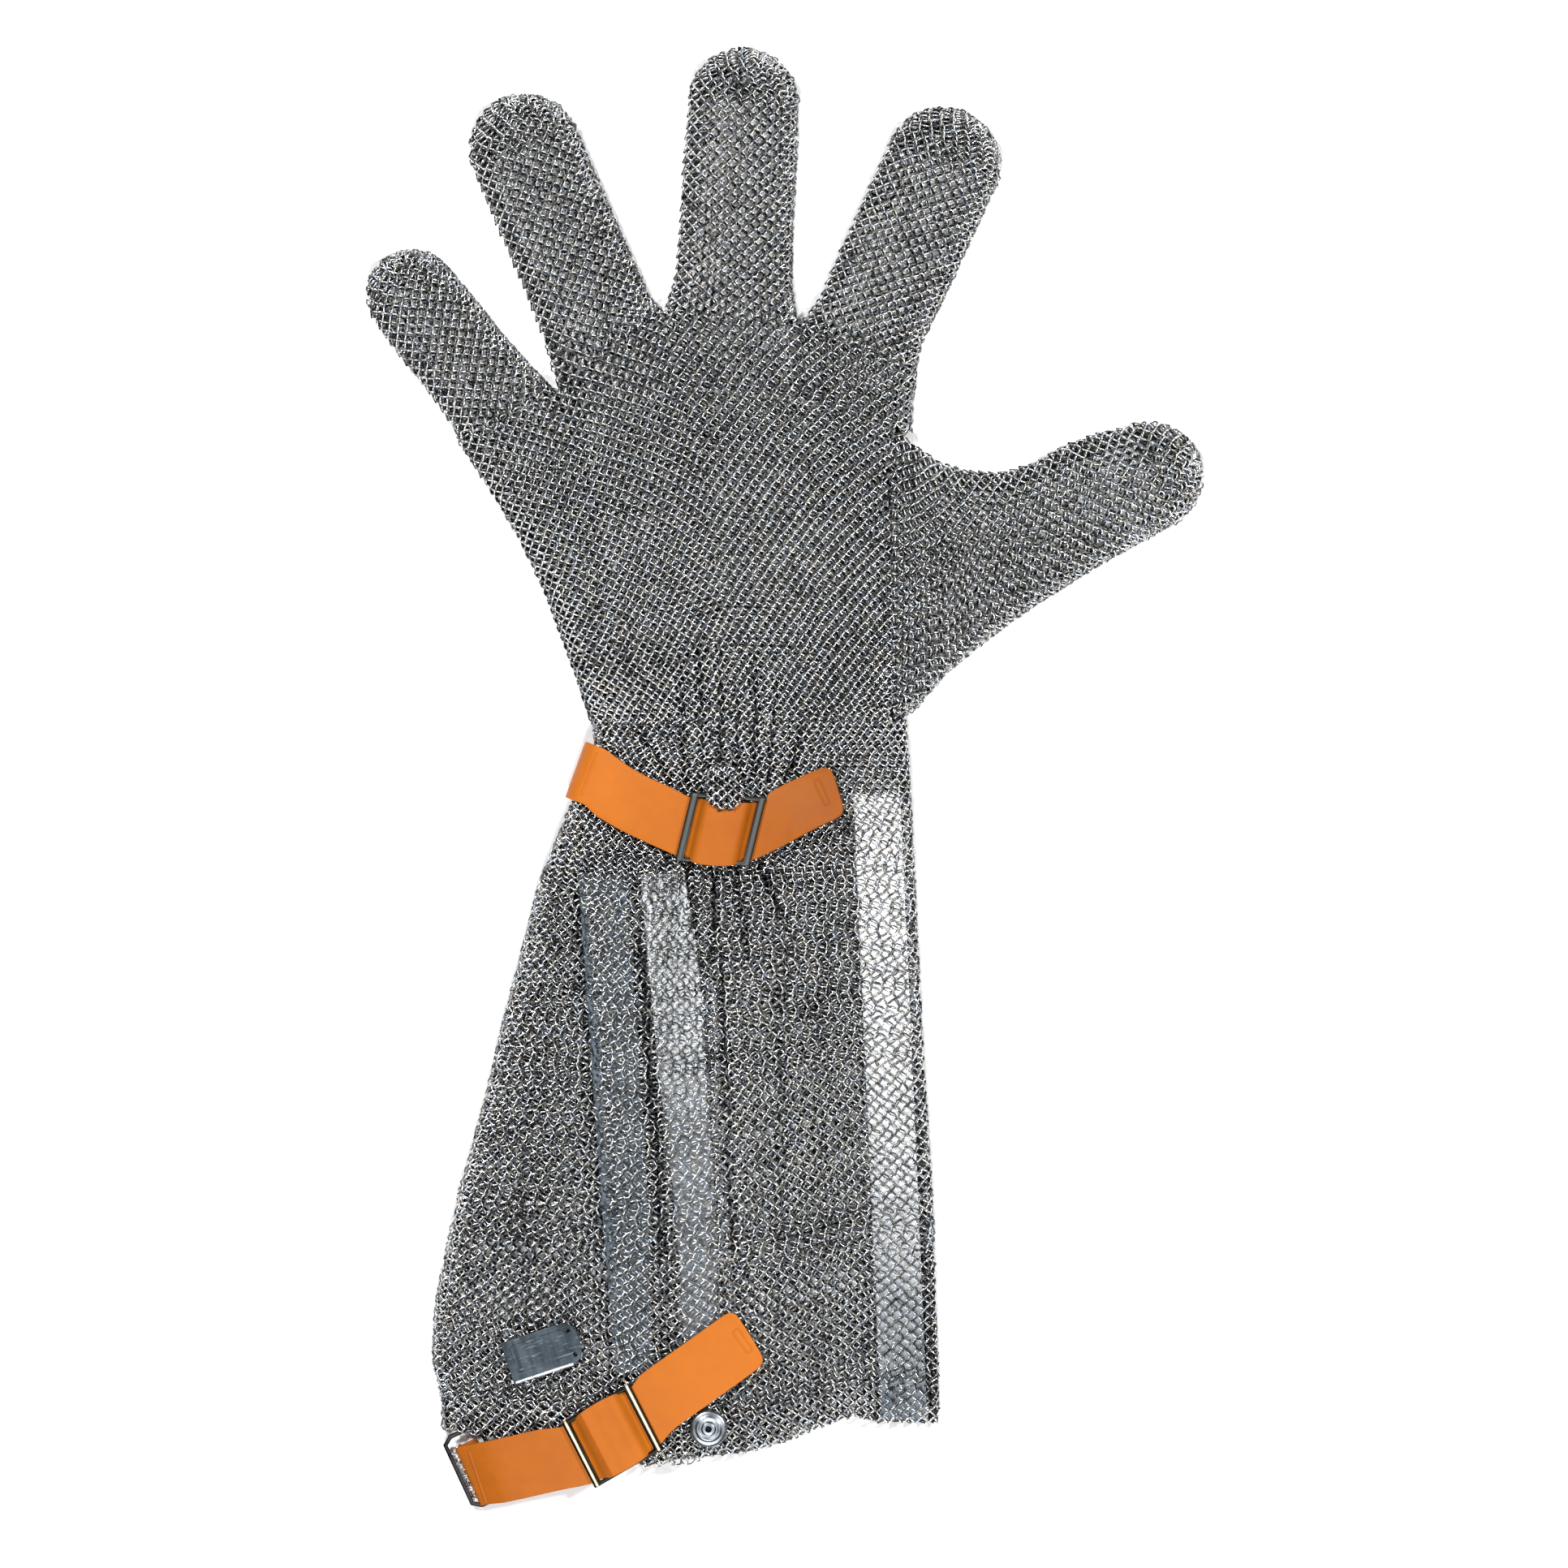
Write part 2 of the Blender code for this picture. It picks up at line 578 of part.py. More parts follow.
def cuff_section(row):
    """One loop round the cuff: far flap, thumb side, underside, outer side, near flap."""
    foot = row is CUFF_ROWS[0]
    y, radius, slit = row.y, row.edge / 2, slit_x(row.y)
    edge = [0.0, ROLL_STEP * radius, radius]
    lines = [crease_line(crease, y) for crease in CREASES]
    lines[0] = max(lines[0], row.left + radius + CREASE_COLUMNS[0] + 1.0)
    lines[1] = max(lines[1], lines[0] + CREASE_COLUMNS[0] + CREASE_COLUMNS[1] + 2.0)
    hidden = slit - row.lap
    far = [hidden, slit, slit + FLAP_RAMP, lines[2] - CREASE_COLUMNS[2], lines[2] + CREASE_COLUMNS[2]]
    if row.lap <= 0.0:
        far[:2] = [hidden, hidden + 1.5]
    rest = row.right - radius - far[-1]
    far += [far[-1] + rest * k / 3 for k in (1, 2)] + [row.right - d for d in reversed(edge)]
    inner_lap = max(row.lap, 3.0)
    near = [row.left + d for d in edge]
    near.append((near[-1] + lines[0] - CREASE_COLUMNS[0]) / 2)
    for line, apart in zip(lines[:2], CREASE_COLUMNS):
        near += [line - apart, line, line + apart]
    near += [slit - inner_lap, slit]
    under = [row.left + (row.right - row.left) * k / 8 for k in range(7, 0, -1)]
    under = [row.right - radius, *under, row.left + radius]
    under = [row.right - ROLL_STEP * radius, *under, row.left + ROLL_STEP * radius]
    points = []
    for x in far:
        at = straight(HEM_RIGHT, "x", "y", x) if foot else y
        points.append((x, at, cuff_top(x, max(at, y), False)))
    for x in under:
        at = y + HEM_SHORT if foot else y
        points.append((x, at, row.floor + radius - roll(min(x - row.left, row.right - x), radius)))
    for x in near:
        at = straight(HEM_LEFT, "x", "y", x) if foot else y
        points.append((x, at, cuff_top(x, max(at, y), True)))
    return points


def make_cuff():
    cuff = loft("cuff_mail", [cuff_section(row) for row in CUFF_ROWS], "mail_steel", closed_loop=False)
    add_wall(cuff, WALL)
    middle = cuff_top(STUD_X, STUD_Y, True) - WALL
    bpy.ops.mesh.primitive_cylinder_add(vertices=16, radius=STUD_HOLE * MM, depth=2 * STUD_REACH * MM,
                                        location=(STUD_X * MM, STUD_Y * MM, middle * MM))
    cut_with_new(cuff, "stud_cutter")


# ---- stays ----

def make_stay(name, rows):
    """A flat strip just under the cuff's upper sheet."""
    foot, head = rows[0].y, rows[-1].y
    count = round((head - foot) / STAY_STEP)
    sections = []
    for k in range(count + 1):
        y = foot + (head - foot) * k / count
        edges = [smooth(rows, "y", "left", y), smooth(rows, "y", "right", y)]
        near_flap = edges[1] < slit_x(y)
        sections.append([(x, y, cuff_top(x, y, near_flap) - WALL - STAY_CLEAR) for x in edges])
    material = "stay_grey" if name == "outer_stay" else "stay_white"
    add_wall(loft(name, sections, material, closed_loop=False), STAY_THICK)


# ---- straps and slides ----

def rest_height(point, width):
    """The highest that the cuff stands under a strap's width at a place, or 0 beyond its hem."""
    heights = [0.0]
    for across_it in (-0.5, -0.25, 0.0, 0.25, 0.5):
        for along in (-REST_REACH, 0.0, REST_REACH):
            place = Vector((point.x, point.y, 0.0)) + side(point.heading) * width * across_it
            place += direction(point.heading) * along
            hem = straight(HEM_LEFT if place.x < slit_x(place.y) else HEM_RIGHT, "x", "y", place.x)
            if place.y > hem - CLEAR:
                heights.append(cuff_top(place.x, place.y))
    return max(heights)


class SlideFrame:
    """A slide's own axes: along the strap, across it, and up from the strap's inner face."""

    def __init__(self, slide):
        self.slide = slide
        self.centre = Vector((slide.x, slide.y, 0.0))
        places = [slide.reach * k / 2 for k in range(-2, 3)]
        heights = []
        for along in places:
            spot = self.centre + direction(slide.heading) * along
            point = StrapPoint(spot.x, spot.y, slide.heading, 0.0)
            heights.append(rest_height(point, slide.strap_width) + CLEAR)
        self.pitch = (heights[-1] - heights[0]) / (2 * slide.reach)
        self.centre.z = max(height - self.pitch * along for height, along in zip(heights, places))

    def place(self, along, across_it, up):
        point = self.centre + direction(self.slide.heading) * along + side(self.slide.heading) * across_it
        point.z += self.pitch * along + up
        return point

    def matrix(self, up):
        heading = Matrix.Rotation(radians(self.slide.heading), 4, "Z")
        tilt = Matrix.Rotation(-atan2(self.pitch, 1.0), 4, "Y")
        return Matrix.Translation(self.place(0.0, 0.0, up) * MM) @ heading @ tilt


def make_slide(frame):
    """A flat three-bar slide: two windows, with the middle bar between them."""
    slide = frame.slide
    end = slide.reach + BUCKLE_BAR / 2
    window = slide.strap_width / 2 + GAP
    outlines = [rectangle(-end, -window - BUCKLE_RAIL, end, window + BUCKLE_RAIL)]
    near, far = BUCKLE_BAR / 2, slide.reach - BUCKLE_BAR / 2
    for start, stop in ((-far, -near), (near, far)):
        outlines.append(rectangle(start, -window, stop, window))
    thing = outline_plate(slide.name, outlines, BUCKLE_THICK, "buckle_steel")
    thing.matrix_world = frame.matrix(STRAP_THICK + GAP + BUCKLE_THICK / 2)


def slide_stations(frame):
    """The strap's path through its slide: under the first bar, over the middle one, under the last."""
    reach = frame.slide.reach
    climb = reach - BUCKLE_BAR / 2 - 1.0
    up_side = ((-reach - 1.4, 0.0), (-climb, 0.0), (-0.55 * reach, 0.5), (-0.27 * reach, 0.94))
    path = up_side + ((0.0, 1.0),) + tuple((-along, up) for along, up in reversed(up_side))
    return [(frame.place(along, 0.0, up * STRAP_LIFT), frame.slide.heading, 0.0) for along, up in path]


def strap_stations(points, width):
    """A strap lying on the cuff: its inner face's middle, its heading and its roll at each point."""
    stations = []
    for point in points:
        height = rest_height(point, width) + CLEAR
        height += sin(radians(point.roll)) * width / 2
        stations.append((Vector((point.x, point.y, height)), point.heading, point.roll))
    return stations


def turn_stations(fold, low, high, under, steps=6):
    """A strap's run underneath and its turn round an edge, from inner heights low to high."""
    radius = (high - low) / 2
    ahead = direction(fold.heading)
    centre = Vector((fold.x, fold.y, 0.0)) + ahead * (radius + STRAP_THICK)
    stations = [(centre + ahead * under + Vector((0, 0, low)), fold.heading, 0.0)]
    for k in range(steps + 1):
        angle = -pi / 2 - pi * k / steps
        offset = ahead * radius * cos(angle)
        stations.append((centre + offset + Vector((0, 0, low + radius + radius * sin(angle))),
                         fold.heading, 0.0))
    return stations


def make_strap(name, stations, width):
    """A flat strap through its stations, with the corners of its tail rounded."""
    last, heading, turn = stations[-1]
    tail = stations[:-1]
    losses = [0.0] * len(tail)
    for distance, loss in TAIL_ROUND:
        tail.append((last - direction(heading) * distance, heading, turn))
        losses.append(loss)
    rows = []
    for (middle, heading, turn), loss in zip(tail, losses):
        half = width / 2 - loss
        reach = side(heading) * cos(radians(turn)) * half
        reach.z = -sin(radians(turn)) * half
        rows.append([middle + reach, middle - reach])
    strap = loft(name, rows, "strap_orange", closed_loop=False)
    add_wall(strap, STRAP_THICK, outwards=True)


def make_wrist_strap(frame):
    width = frame.slide.strap_width
    low = STRAP_THICK + 0.05
    high = rest_height(WRIST_TOP, 2.0) + CLEAR
    stations = turn_stations(WRIST_FOLD, low, high, WRIST_UNDER)
    stations += strap_stations(WRIST_BEFORE, width)
    stations += slide_stations(frame)
    stations += strap_stations(WRIST_AFTER, width)
    make_strap("wrist_strap", stations, width)


def make_forearm_strap(frame):
    width = frame.slide.strap_width
    radius = LOOP_WIRE / 2 + GAP
    stations = turn_stations(FOREARM_FOLD, LOOP_Z - radius, LOOP_Z + radius, FOREARM_UNDER, 4)
    stations += strap_stations(FOREARM_BEFORE, width)
    stations += slide_stations(frame)
    stations += strap_stations(FOREARM_AFTER, width)
    make_strap("forearm_strap", stations, width)


def make_end_loop():
    """A rectangular wire loop; the strap turns round its inner long side."""
    ahead, aside = direction(FOREARM_FOLD.heading), side(FOREARM_FOLD.heading)
    bar = STRAP_THICK + LOOP_WIRE / 2 + GAP
    centre = Vector((FOREARM_FOLD.x, FOREARM_FOLD.y, LOOP_Z)) + ahead * (bar - LOOP_WIDTH / 2)
    curve = bpy.data.curves.new("end_loop", "CURVE")
    curve.dimensions = "3D"
    curve.bevel_depth = LOOP_WIRE / 2 * MM
    curve.bevel_resolution = 2
    corners = []
    for turn, (sx, sy) in enumerate(((1, 1), (-1, 1), (-1, -1), (1, -1))):
        for k in range(3):
            angle = pi / 2 * turn + pi / 4 * k
            corners.append((sx * (LOOP_WIDTH / 2 - LOOP_CORNER) + LOOP_CORNER * cos(angle),
                            sy * (LOOP_LENGTH / 2 - LOOP_CORNER) + LOOP_CORNER * sin(angle)))
    spline = curve.splines.new("POLY")
    spline.points.add(len(corners) - 1)
    for point, (along, across_it) in zip(spline.points, corners):
        point.co = (*((centre + ahead * along + aside * across_it) * MM), 1.0)
    spline.use_cyclic_u = True
    add_object("end_loop", curve, "loop_black", PARTS)


# ---- stud and plate ----

def make_stud():
    """A ringed cap on a stem that goes down through both flaps to a flat foot."""
    reach = 0.7 * STUD_CAP[-1].radius
    places = [(STUD_X + dx, STUD_Y + dy) for dx in (-reach, 0.0, reach) for dy in (-reach, 0.0, reach)]
    foot = max(cuff_top(x, y, True) for x, y in places) + CLEAR
    low = cuff_top(STUD_X, STUD_Y, False) - WALL - 2 * STUD_FOOT_THICK
    profile = [(0.0, foot + STUD_CAP[0].height)]
    profile += [(ring.radius, foot + ring.height) for ring in STUD_CAP]
    profile += [(STUD_STEM, foot), (STUD_STEM, low), (STUD_FOOT, low)]
    profile += [(STUD_FOOT, low - STUD_FOOT_THICK), (0.0, low - STUD_FOOT_THICK)]
    data = bpy.data.meshes.new("press_stud")
    data.from_pydata([(r * MM, 0.0, z * MM) for r, z in profile],
                     [(k, k + 1) for k in range(len(profile) - 1)], [])
    stud = add_object("press_stud", data, "stud_steel", PARTS)
    stud.location = (STUD_X * MM, STUD_Y * MM, 0.0)
    screw = stud.modifiers.new("turn", "SCREW")
    screw.steps = STUD_TURNS
    screw.render_steps = STUD_TURNS
    screw.use_merge_vertices = True
    screw.merge_threshold = 0.00001


def make_plate():
    """A thin plate with its two inner corners rounded and a small hole near each."""
    half_x, half_y = PLATE_LENGTH / 2, PLATE_WIDTH / 2
    outline = [(-half_x, half_y), (-half_x, -half_y)]
    for sign, start in ((-1, -pi / 2), (1, 0.0)):
        for k in range(5):
            angle = start + pi / 8 * k
            outline.append((half_x - PLATE_CORNER + PLATE_CORNER * cos(angle),
                            sign * (half_y - PLATE_CORNER) + PLATE_CORNER * sin(angle)))
    holes = [circle(half_x - 2.6, sign * (half_y - 2.9), PLATE_HOLE, 8) for sign in (-1, 1)]
    plate = outline_plate("marking_plate", [outline, *holes], PLATE_THICK, "plate_steel")
    ahead, aside = direction(PLATE_TURN), side(PLATE_TURN)
    heights = []
    for sx in (-1, 0, 1):
        middle = Vector((PLATE_X, PLATE_Y, 0.0)) + ahead * half_x * sx
        places = [middle + aside * half_y * sy for sy in (-1, 0, 1)]
        heights.append(max(cuff_top(place.x, place.y) for place in places))
    pitch = (heights[2] - heights[0]) / PLATE_LENGTH
    lift = max(heights[0] + pitch * half_x, heights[1])
    place = Vector((PLATE_X, PLATE_Y, lift + CLEAR + PLATE_THICK / 2)) * MM
    turn = Matrix.Rotation(radians(PLATE_TURN), 4, "Z") @ Matrix.Rotation(-atan2(pitch, 1.0), 4, "Y")
    plate.matrix_world = Matrix.Translation(place) @ turn


# ---- build ----

for old in list(bpy.data.objects):
    bpy.data.objects.remove(old)
PARTS = bpy.data.collections.new(OBJECT_NAME)
CUTTERS = bpy.data.collections.new("cutters")
bpy.context.scene.collection.children.link(PARTS)
bpy.context.scene.collection.children.link(CUTTERS)

make_palm()
for finger, left, right in zip(FINGERS, KNUCKLES, KNUCKLES[1:]):
    make_finger(finger, left, right)
make_thumb()
make_cuff()
for name, rows in STAYS.items():
    make_stay(name, rows)
wrist_frame, forearm_frame = SlideFrame(WRIST_SLIDE), SlideFrame(FOREARM_SLIDE)
make_slide(wrist_frame)
make_slide(forearm_frame)
make_wrist_strap(wrist_frame)
make_forearm_strap(forearm_frame)
make_end_loop()
make_stud()
make_plate()
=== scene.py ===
import math
import bpy
import numpy as np
from mathutils import Matrix, Vector
from mathutils.bvhtree import BVHTree


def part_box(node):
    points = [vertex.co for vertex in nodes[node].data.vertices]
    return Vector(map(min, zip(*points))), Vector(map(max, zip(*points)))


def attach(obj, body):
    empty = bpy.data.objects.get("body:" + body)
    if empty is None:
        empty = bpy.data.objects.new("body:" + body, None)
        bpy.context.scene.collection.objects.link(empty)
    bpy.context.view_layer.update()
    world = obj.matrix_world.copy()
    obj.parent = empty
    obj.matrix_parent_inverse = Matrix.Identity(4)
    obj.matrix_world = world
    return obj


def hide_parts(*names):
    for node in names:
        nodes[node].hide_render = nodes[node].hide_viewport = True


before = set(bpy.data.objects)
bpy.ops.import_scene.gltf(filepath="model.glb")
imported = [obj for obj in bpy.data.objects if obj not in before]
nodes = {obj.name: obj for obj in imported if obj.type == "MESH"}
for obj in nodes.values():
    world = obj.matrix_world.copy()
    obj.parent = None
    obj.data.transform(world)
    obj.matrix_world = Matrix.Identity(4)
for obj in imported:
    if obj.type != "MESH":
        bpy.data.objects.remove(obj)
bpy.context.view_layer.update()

mm = 0.001
chance = np.random.default_rng(23)


# materials: sums of sockets, and one way to make a node

class Amount:  # a number that changes over a surface
    def __init__(self, finish, socket):
        self.finish, self.socket = finish, socket

    def join(self, operation, first, second):
        return self.finish.node("ShaderNodeMath", {"operation": operation}, {0: first, 1: second})

    def __add__(self, other): return self.join("ADD", self, other)
    def __sub__(self, other): return self.join("SUBTRACT", self, other)
    def __mul__(self, other): return self.join("MULTIPLY", self, other)
    def __rsub__(self, other): return self.join("SUBTRACT", other, self)
    def __pow__(self, other): return self.join("POWER", self, other)

    def by(self, operation):
        return self.finish.node("ShaderNodeMath", {"operation": operation}, {0: self})

    def clipped(self, low, high):
        return self.join("MINIMUM", self.join("MAXIMUM", self, low), high)

    __radd__, __rmul__ = __add__, __mul__


class Finish:  # one material and the nodes in it
    def __init__(self, name, **plain):
        self.material = bpy.data.materials.new(name)
        self.material.use_nodes = True
        self.tree = self.material.node_tree
        self.shader = self.tree.nodes["Principled BSDF"]
        for socket, value in plain.items():
            self.put(self.shader, socket.replace("_", " "), value)

    def put(self, node, socket, value):
        entry = node.inputs[socket]
        if isinstance(value, Amount):
            self.tree.links.new(value.socket, entry)
        elif isinstance(value, tuple) and len(value) == 3 and entry.type == "RGBA":
            entry.default_value = (*value, 1.0)
        else:
            entry.default_value = value

    def node(self, kind, settings=None, values=None, out=0):
        made = self.tree.nodes.new(kind)
        for key, value in (settings or {}).items():
            if key == "stops":
                while len(made.color_ramp.elements) < len(value):
                    made.color_ramp.elements.new(0.5)
                for stop, (place, tone) in zip(made.color_ramp.elements, value):
                    stop.position, stop.color = place, (tone, tone, tone, 1.0)
            else:
                setattr(made, key, value)
        for socket, value in (values or {}).items():
            self.put(made, socket, value)
        return Amount(self, made.outputs[out])

    def place(self):
        return self.node("ShaderNodeTexCoord", out="Object")

    def stretched(self, scale, turn=(0.0, 0.0, 0.0)):
        turned = self.node("ShaderNodeMapping", {}, {"Vector": self.place(), "Rotation": turn})
        return self.node("ShaderNodeMapping", {}, {"Vector": turned, "Scale": scale})

    def noise(self, scale, detail=2.0, where=None):
        return self.node("ShaderNodeTexNoise", {}, {"Vector": where or self.place(), "Scale": scale,
            "Detail": detail})

    def along(self, axis):
        return self.node("ShaderNodeSeparateXYZ", {}, {0: self.place()}, out=axis)

    def ramp(self, amount, *stops):
        return self.node("ShaderNodeValToRGB", {"stops": stops}, {0: amount})

    def mix(self, amount, first, second):
        return self.node("ShaderNodeMix", {"data_type": "RGBA"}, {0: amount, 6: first, 7: second}, out=2)

    def bump(self, height, distance, strength=1.0, over=None):
        values = {"Height": height, "Distance": distance, "Strength": strength}
        if over:
            values["Normal"] = over
        return self.node("ShaderNodeBump", {}, values)

    def wear(self, **changing):
        for socket, value in changing.items():
            self.put(self.shader, socket.replace("_", " "), value)
        return self.material


# small steps used all through

def linked(name, data):
    made = bpy.data.objects.new(name, data)
    bpy.context.scene.collection.objects.link(made)
    return made


def onlySelect(piece):
    bpy.ops.object.select_all(action="DESELECT")
    piece.select_set(True)
    bpy.context.view_layer.objects.active = piece


def editWhole():
    bpy.ops.object.mode_set(mode="EDIT")
    bpy.ops.mesh.select_all(action="SELECT")


def endEdit():
    bpy.ops.object.mode_set(mode="OBJECT")


# camera, floor and lights
view = {"middle": (-0.00052, -0.00117), "across": 0.5023, "height": 2.2, "over": 0.008, "sensor": 36.0}

cameraData = bpy.data.cameras.new("camera")
cameraData.sensor_width = view["sensor"]
cameraData.lens = view["sensor"] * view["height"] / view["across"]
camera = linked("camera", cameraData)
camera.location = (*view["middle"], view["height"] + view["over"])
bpy.context.scene.camera = camera

studio = {"floorSize": 6.0, "floorAt": -0.0002, "sky": 0.03,
    "lights": (((-0.7, 0.9, 1.8), 0.22, 40.5), ((1.0, 0.4, 1.7), 0.2, 31.0), ((-0.1, -1.0, 1.7), 0.4, 30.0))}

bpy.ops.mesh.primitive_plane_add(size=studio["floorSize"], location=(0, 0, studio["floorAt"]))
floor = bpy.context.object
floor.name = "floor"
floor.data.materials.append(Finish("floorPaper", Base_Color=(0.9, 0.9, 0.9), Roughness=0.9).material)

sky = bpy.data.worlds.new("sky")
sky.use_nodes = True
sky.node_tree.nodes["Background"].inputs[0].default_value = (1.0, 1.0, 1.0, 1.0)
sky.node_tree.nodes["Background"].inputs[1].default_value = studio["sky"]
bpy.context.scene.world = sky
bpy.context.scene.view_settings.view_transform = "Standard"

for number, (place, size, power) in enumerate(studio["lights"]):
    lamp = bpy.data.lights.new("softbox%d" % number, "AREA")
    lamp.size, lamp.energy = size, power
    holder = linked(lamp.name, lamp)
    holder.location = place
    holder.rotation_euler = (-Vector(place)).to_track_quat("-Z", "Y").to_euler()
print("studio ready")


# mail: the shape it is laid on
mail = {"ringRadius": 1.5 * mm, "wireRadius": 0.33 * mm, "underRadius": 1.8 * mm, "underWire": 0.66 * mm,
    "halfPitch": 1.86 * mm, "apart": 2.1 * mm, "rows": 154, "upperTurns": 6, "underTurns": 4,
    "roll": 4.5 * mm, "lean": 68.0, "sideLean": 20.0, "underLean": 24.0, "slant": (0.75, 0.66),
    "upright": 0.6, "sink": 0.95 * mm, "sideSink": 0.35 * mm, "lowest": 0.8 * mm, "fullBelow": -203.0 * mm,
    "keptBelow": 7.5 * mm, "jump": 9 * mm, "topFrom": 7 * mm, "tremble": 0.08, "drift": 0.07 * mm,
    "tone": 0.97, "toneSpread": 0.32, "edgeShade": 1.1, "edgeFrom": 0.8, "depthShade": 0.15, "glint": 0.45,
    "brighter": 0.45,
    "paintedLightAndShade": (((-10.0, 78.0), 45.0, 0.3), ((109.0, 92.0), 14.0, 0.5), ((59.0, 197.0), 11.0, 0.2),
        ((-88.0, 209.0), 9.0, 0.2), ((-14.0, 205.0), 14.0, 0.1), ((10.0, -150.0), 40.0, 0.2),
        ((16.0, -38.0), 20.0, 0.22), ((-19.4, -2.0), 7.0, -0.35), ((0.0, -92.0), 32.0, 0.3),
        ((-54.0, 32.0), 22.0, -0.34)),
    "paintedShadeOverStays": (((33.5, -105.0), 8.6, 95.0, 0.075, 0.5), ((-34.0, -62.0), 8.0, 32.0, 0.11, 0.6)),
    "bright": (((4.4, 108.3), 1.9, 1.9, 1.2), ((-28.9, 14.4), 1.9, 1.9, 1.25),
        ((-88.0, -202.4), 18.0, 1.2, 1.22), ((-81.4, -201.6), 1.9, 2.2, 1.4),
        ((-76.5, -201.6), 1.9, 2.2, 1.4))}


def surfaceOf(*names):
    corners, faces = [], []
    for name in names:
        mesh = nodes[name].data
        faces += [[len(corners) + v for v in face.vertices] for face in mesh.polygons]
        corners += [vertex.co.copy() for vertex in mesh.vertices]
    return BVHTree.FromPolygons(corners, faces)


def heights(surface, places, above=True):  # the outer surface over or under each place, gaps filled in
    found = np.full(len(places), np.nan)
    for k, (x, y) in enumerate(places):
        hit = surface.ray_cast(Vector((x, y, 0.1 if above else -0.1)), Vector((0, 0, -1 if above else 1)))[0]
        if hit is not None:
            found[k] = hit.z
    known = np.isfinite(found)
    if known.sum() > 4:
        middle = np.median(found[known])
        known &= np.abs(np.where(known, found, middle) - middle) < mail["jump"]
    steps = np.arange(len(places))
    return np.interp(steps, steps[known], found[known])


def spread(width):  # distances from one edge to the other, close where it rolls over
    reach = min(mail["roll"], 0.45 * width)
    edge = reach * (1 - np.cos(np.linspace(0.12, math.pi / 2, 8)))
    inner = np.linspace(reach, width - reach, max(int(width / (2 * mm)), 4))[1:-1]
    return np.concatenate((edge, inner, width - edge[::-1]))


def acrossLine(left, right):
    left, right = np.asarray(left, float), np.asarray(right, float)
    width = np.linalg.norm(right - left)
    return left + np.outer(spread(width) / width, right - left)


def loopOver(surface, line, ends, start=None):
    # one loop round a flat tube: over the top, round the far edge, back underneath and up to where it began
    top = np.column_stack((line, heights(surface, line)))
    under = np.column_stack((line, heights(surface, line, above=False)))
    nearEnd = [*ends[0], (top[0, 2] + under[0, 2]) / 2]
    farEnd = [*ends[1], (top[-1, 2] + under[-1, 2]) / 2]
    begin = 0 if start is None else start
    return np.vstack((top[begin:], [farEnd], under[::-1], [nearEnd], top[:begin]))


def walk(loop, shares, closed=True):  # places at shares of a loop's length
    if closed:
        loop = np.vstack((loop, loop[:1]))
        shares = np.mod(shares, 1.0)
    lengths = np.concatenate(([0.0], np.cumsum(np.linalg.norm(np.diff(loop, axis=0), axis=1))))
    return np.stack([np.interp(shares * lengths[-1], lengths, loop[:, axis]) for axis in range(3)], axis=1)


def loopLength(loop):
    return np.linalg.norm(np.diff(np.vstack((loop, loop[:1])), axis=0), axis=1).sum()


def unit(vectors):
    return vectors / np.maximum(np.linalg.norm(vectors, axis=1, keepdims=True), 1e-12)


def weave(loops, counts, first=0, closed=True):
    # rings where the loops meet the rows that cross them, slanted to and fro
    places, outs, alongs, leans, sparse = [], [], [], [], []
    for k in range(1, len(loops) - 1):
        count = counts[k]
        mine = np.arange(count)
        share = (mine + 0.5) / count
        isClosed = closed[k] if isinstance(closed, (list, np.ndarray)) else closed
        here = walk(loops[k], share, isClosed)
        rowWay = walk(loops[k + 1], share, isClosed) - walk(loops[k - 1], share, isClosed)
        step = 0.7 / count
        before, after = (share + way if isClosed else np.clip(share + way, 0, 1) for way in (-step, step))
        loopWay = walk(loops[k], after, isClosed) - walk(loops[k], before, isClosed)
        out = unit(np.cross(unit(rowWay), unit(loopWay)))
        places.append(here)
        outs.append(out)
        alongs.append(unit(rowWay))
        leans.append(np.where((mine + k + first) % 2 == 0, 1.0, -1.0))
        sparse.append(np.where((mine + k + first) % 2 == 0, 1.0, 0.0) * (1 if k % 2 else -1))
    return (np.vstack(places), np.vstack(outs), np.vstack(alongs), np.concatenate(leans),
        np.concatenate(sparse))


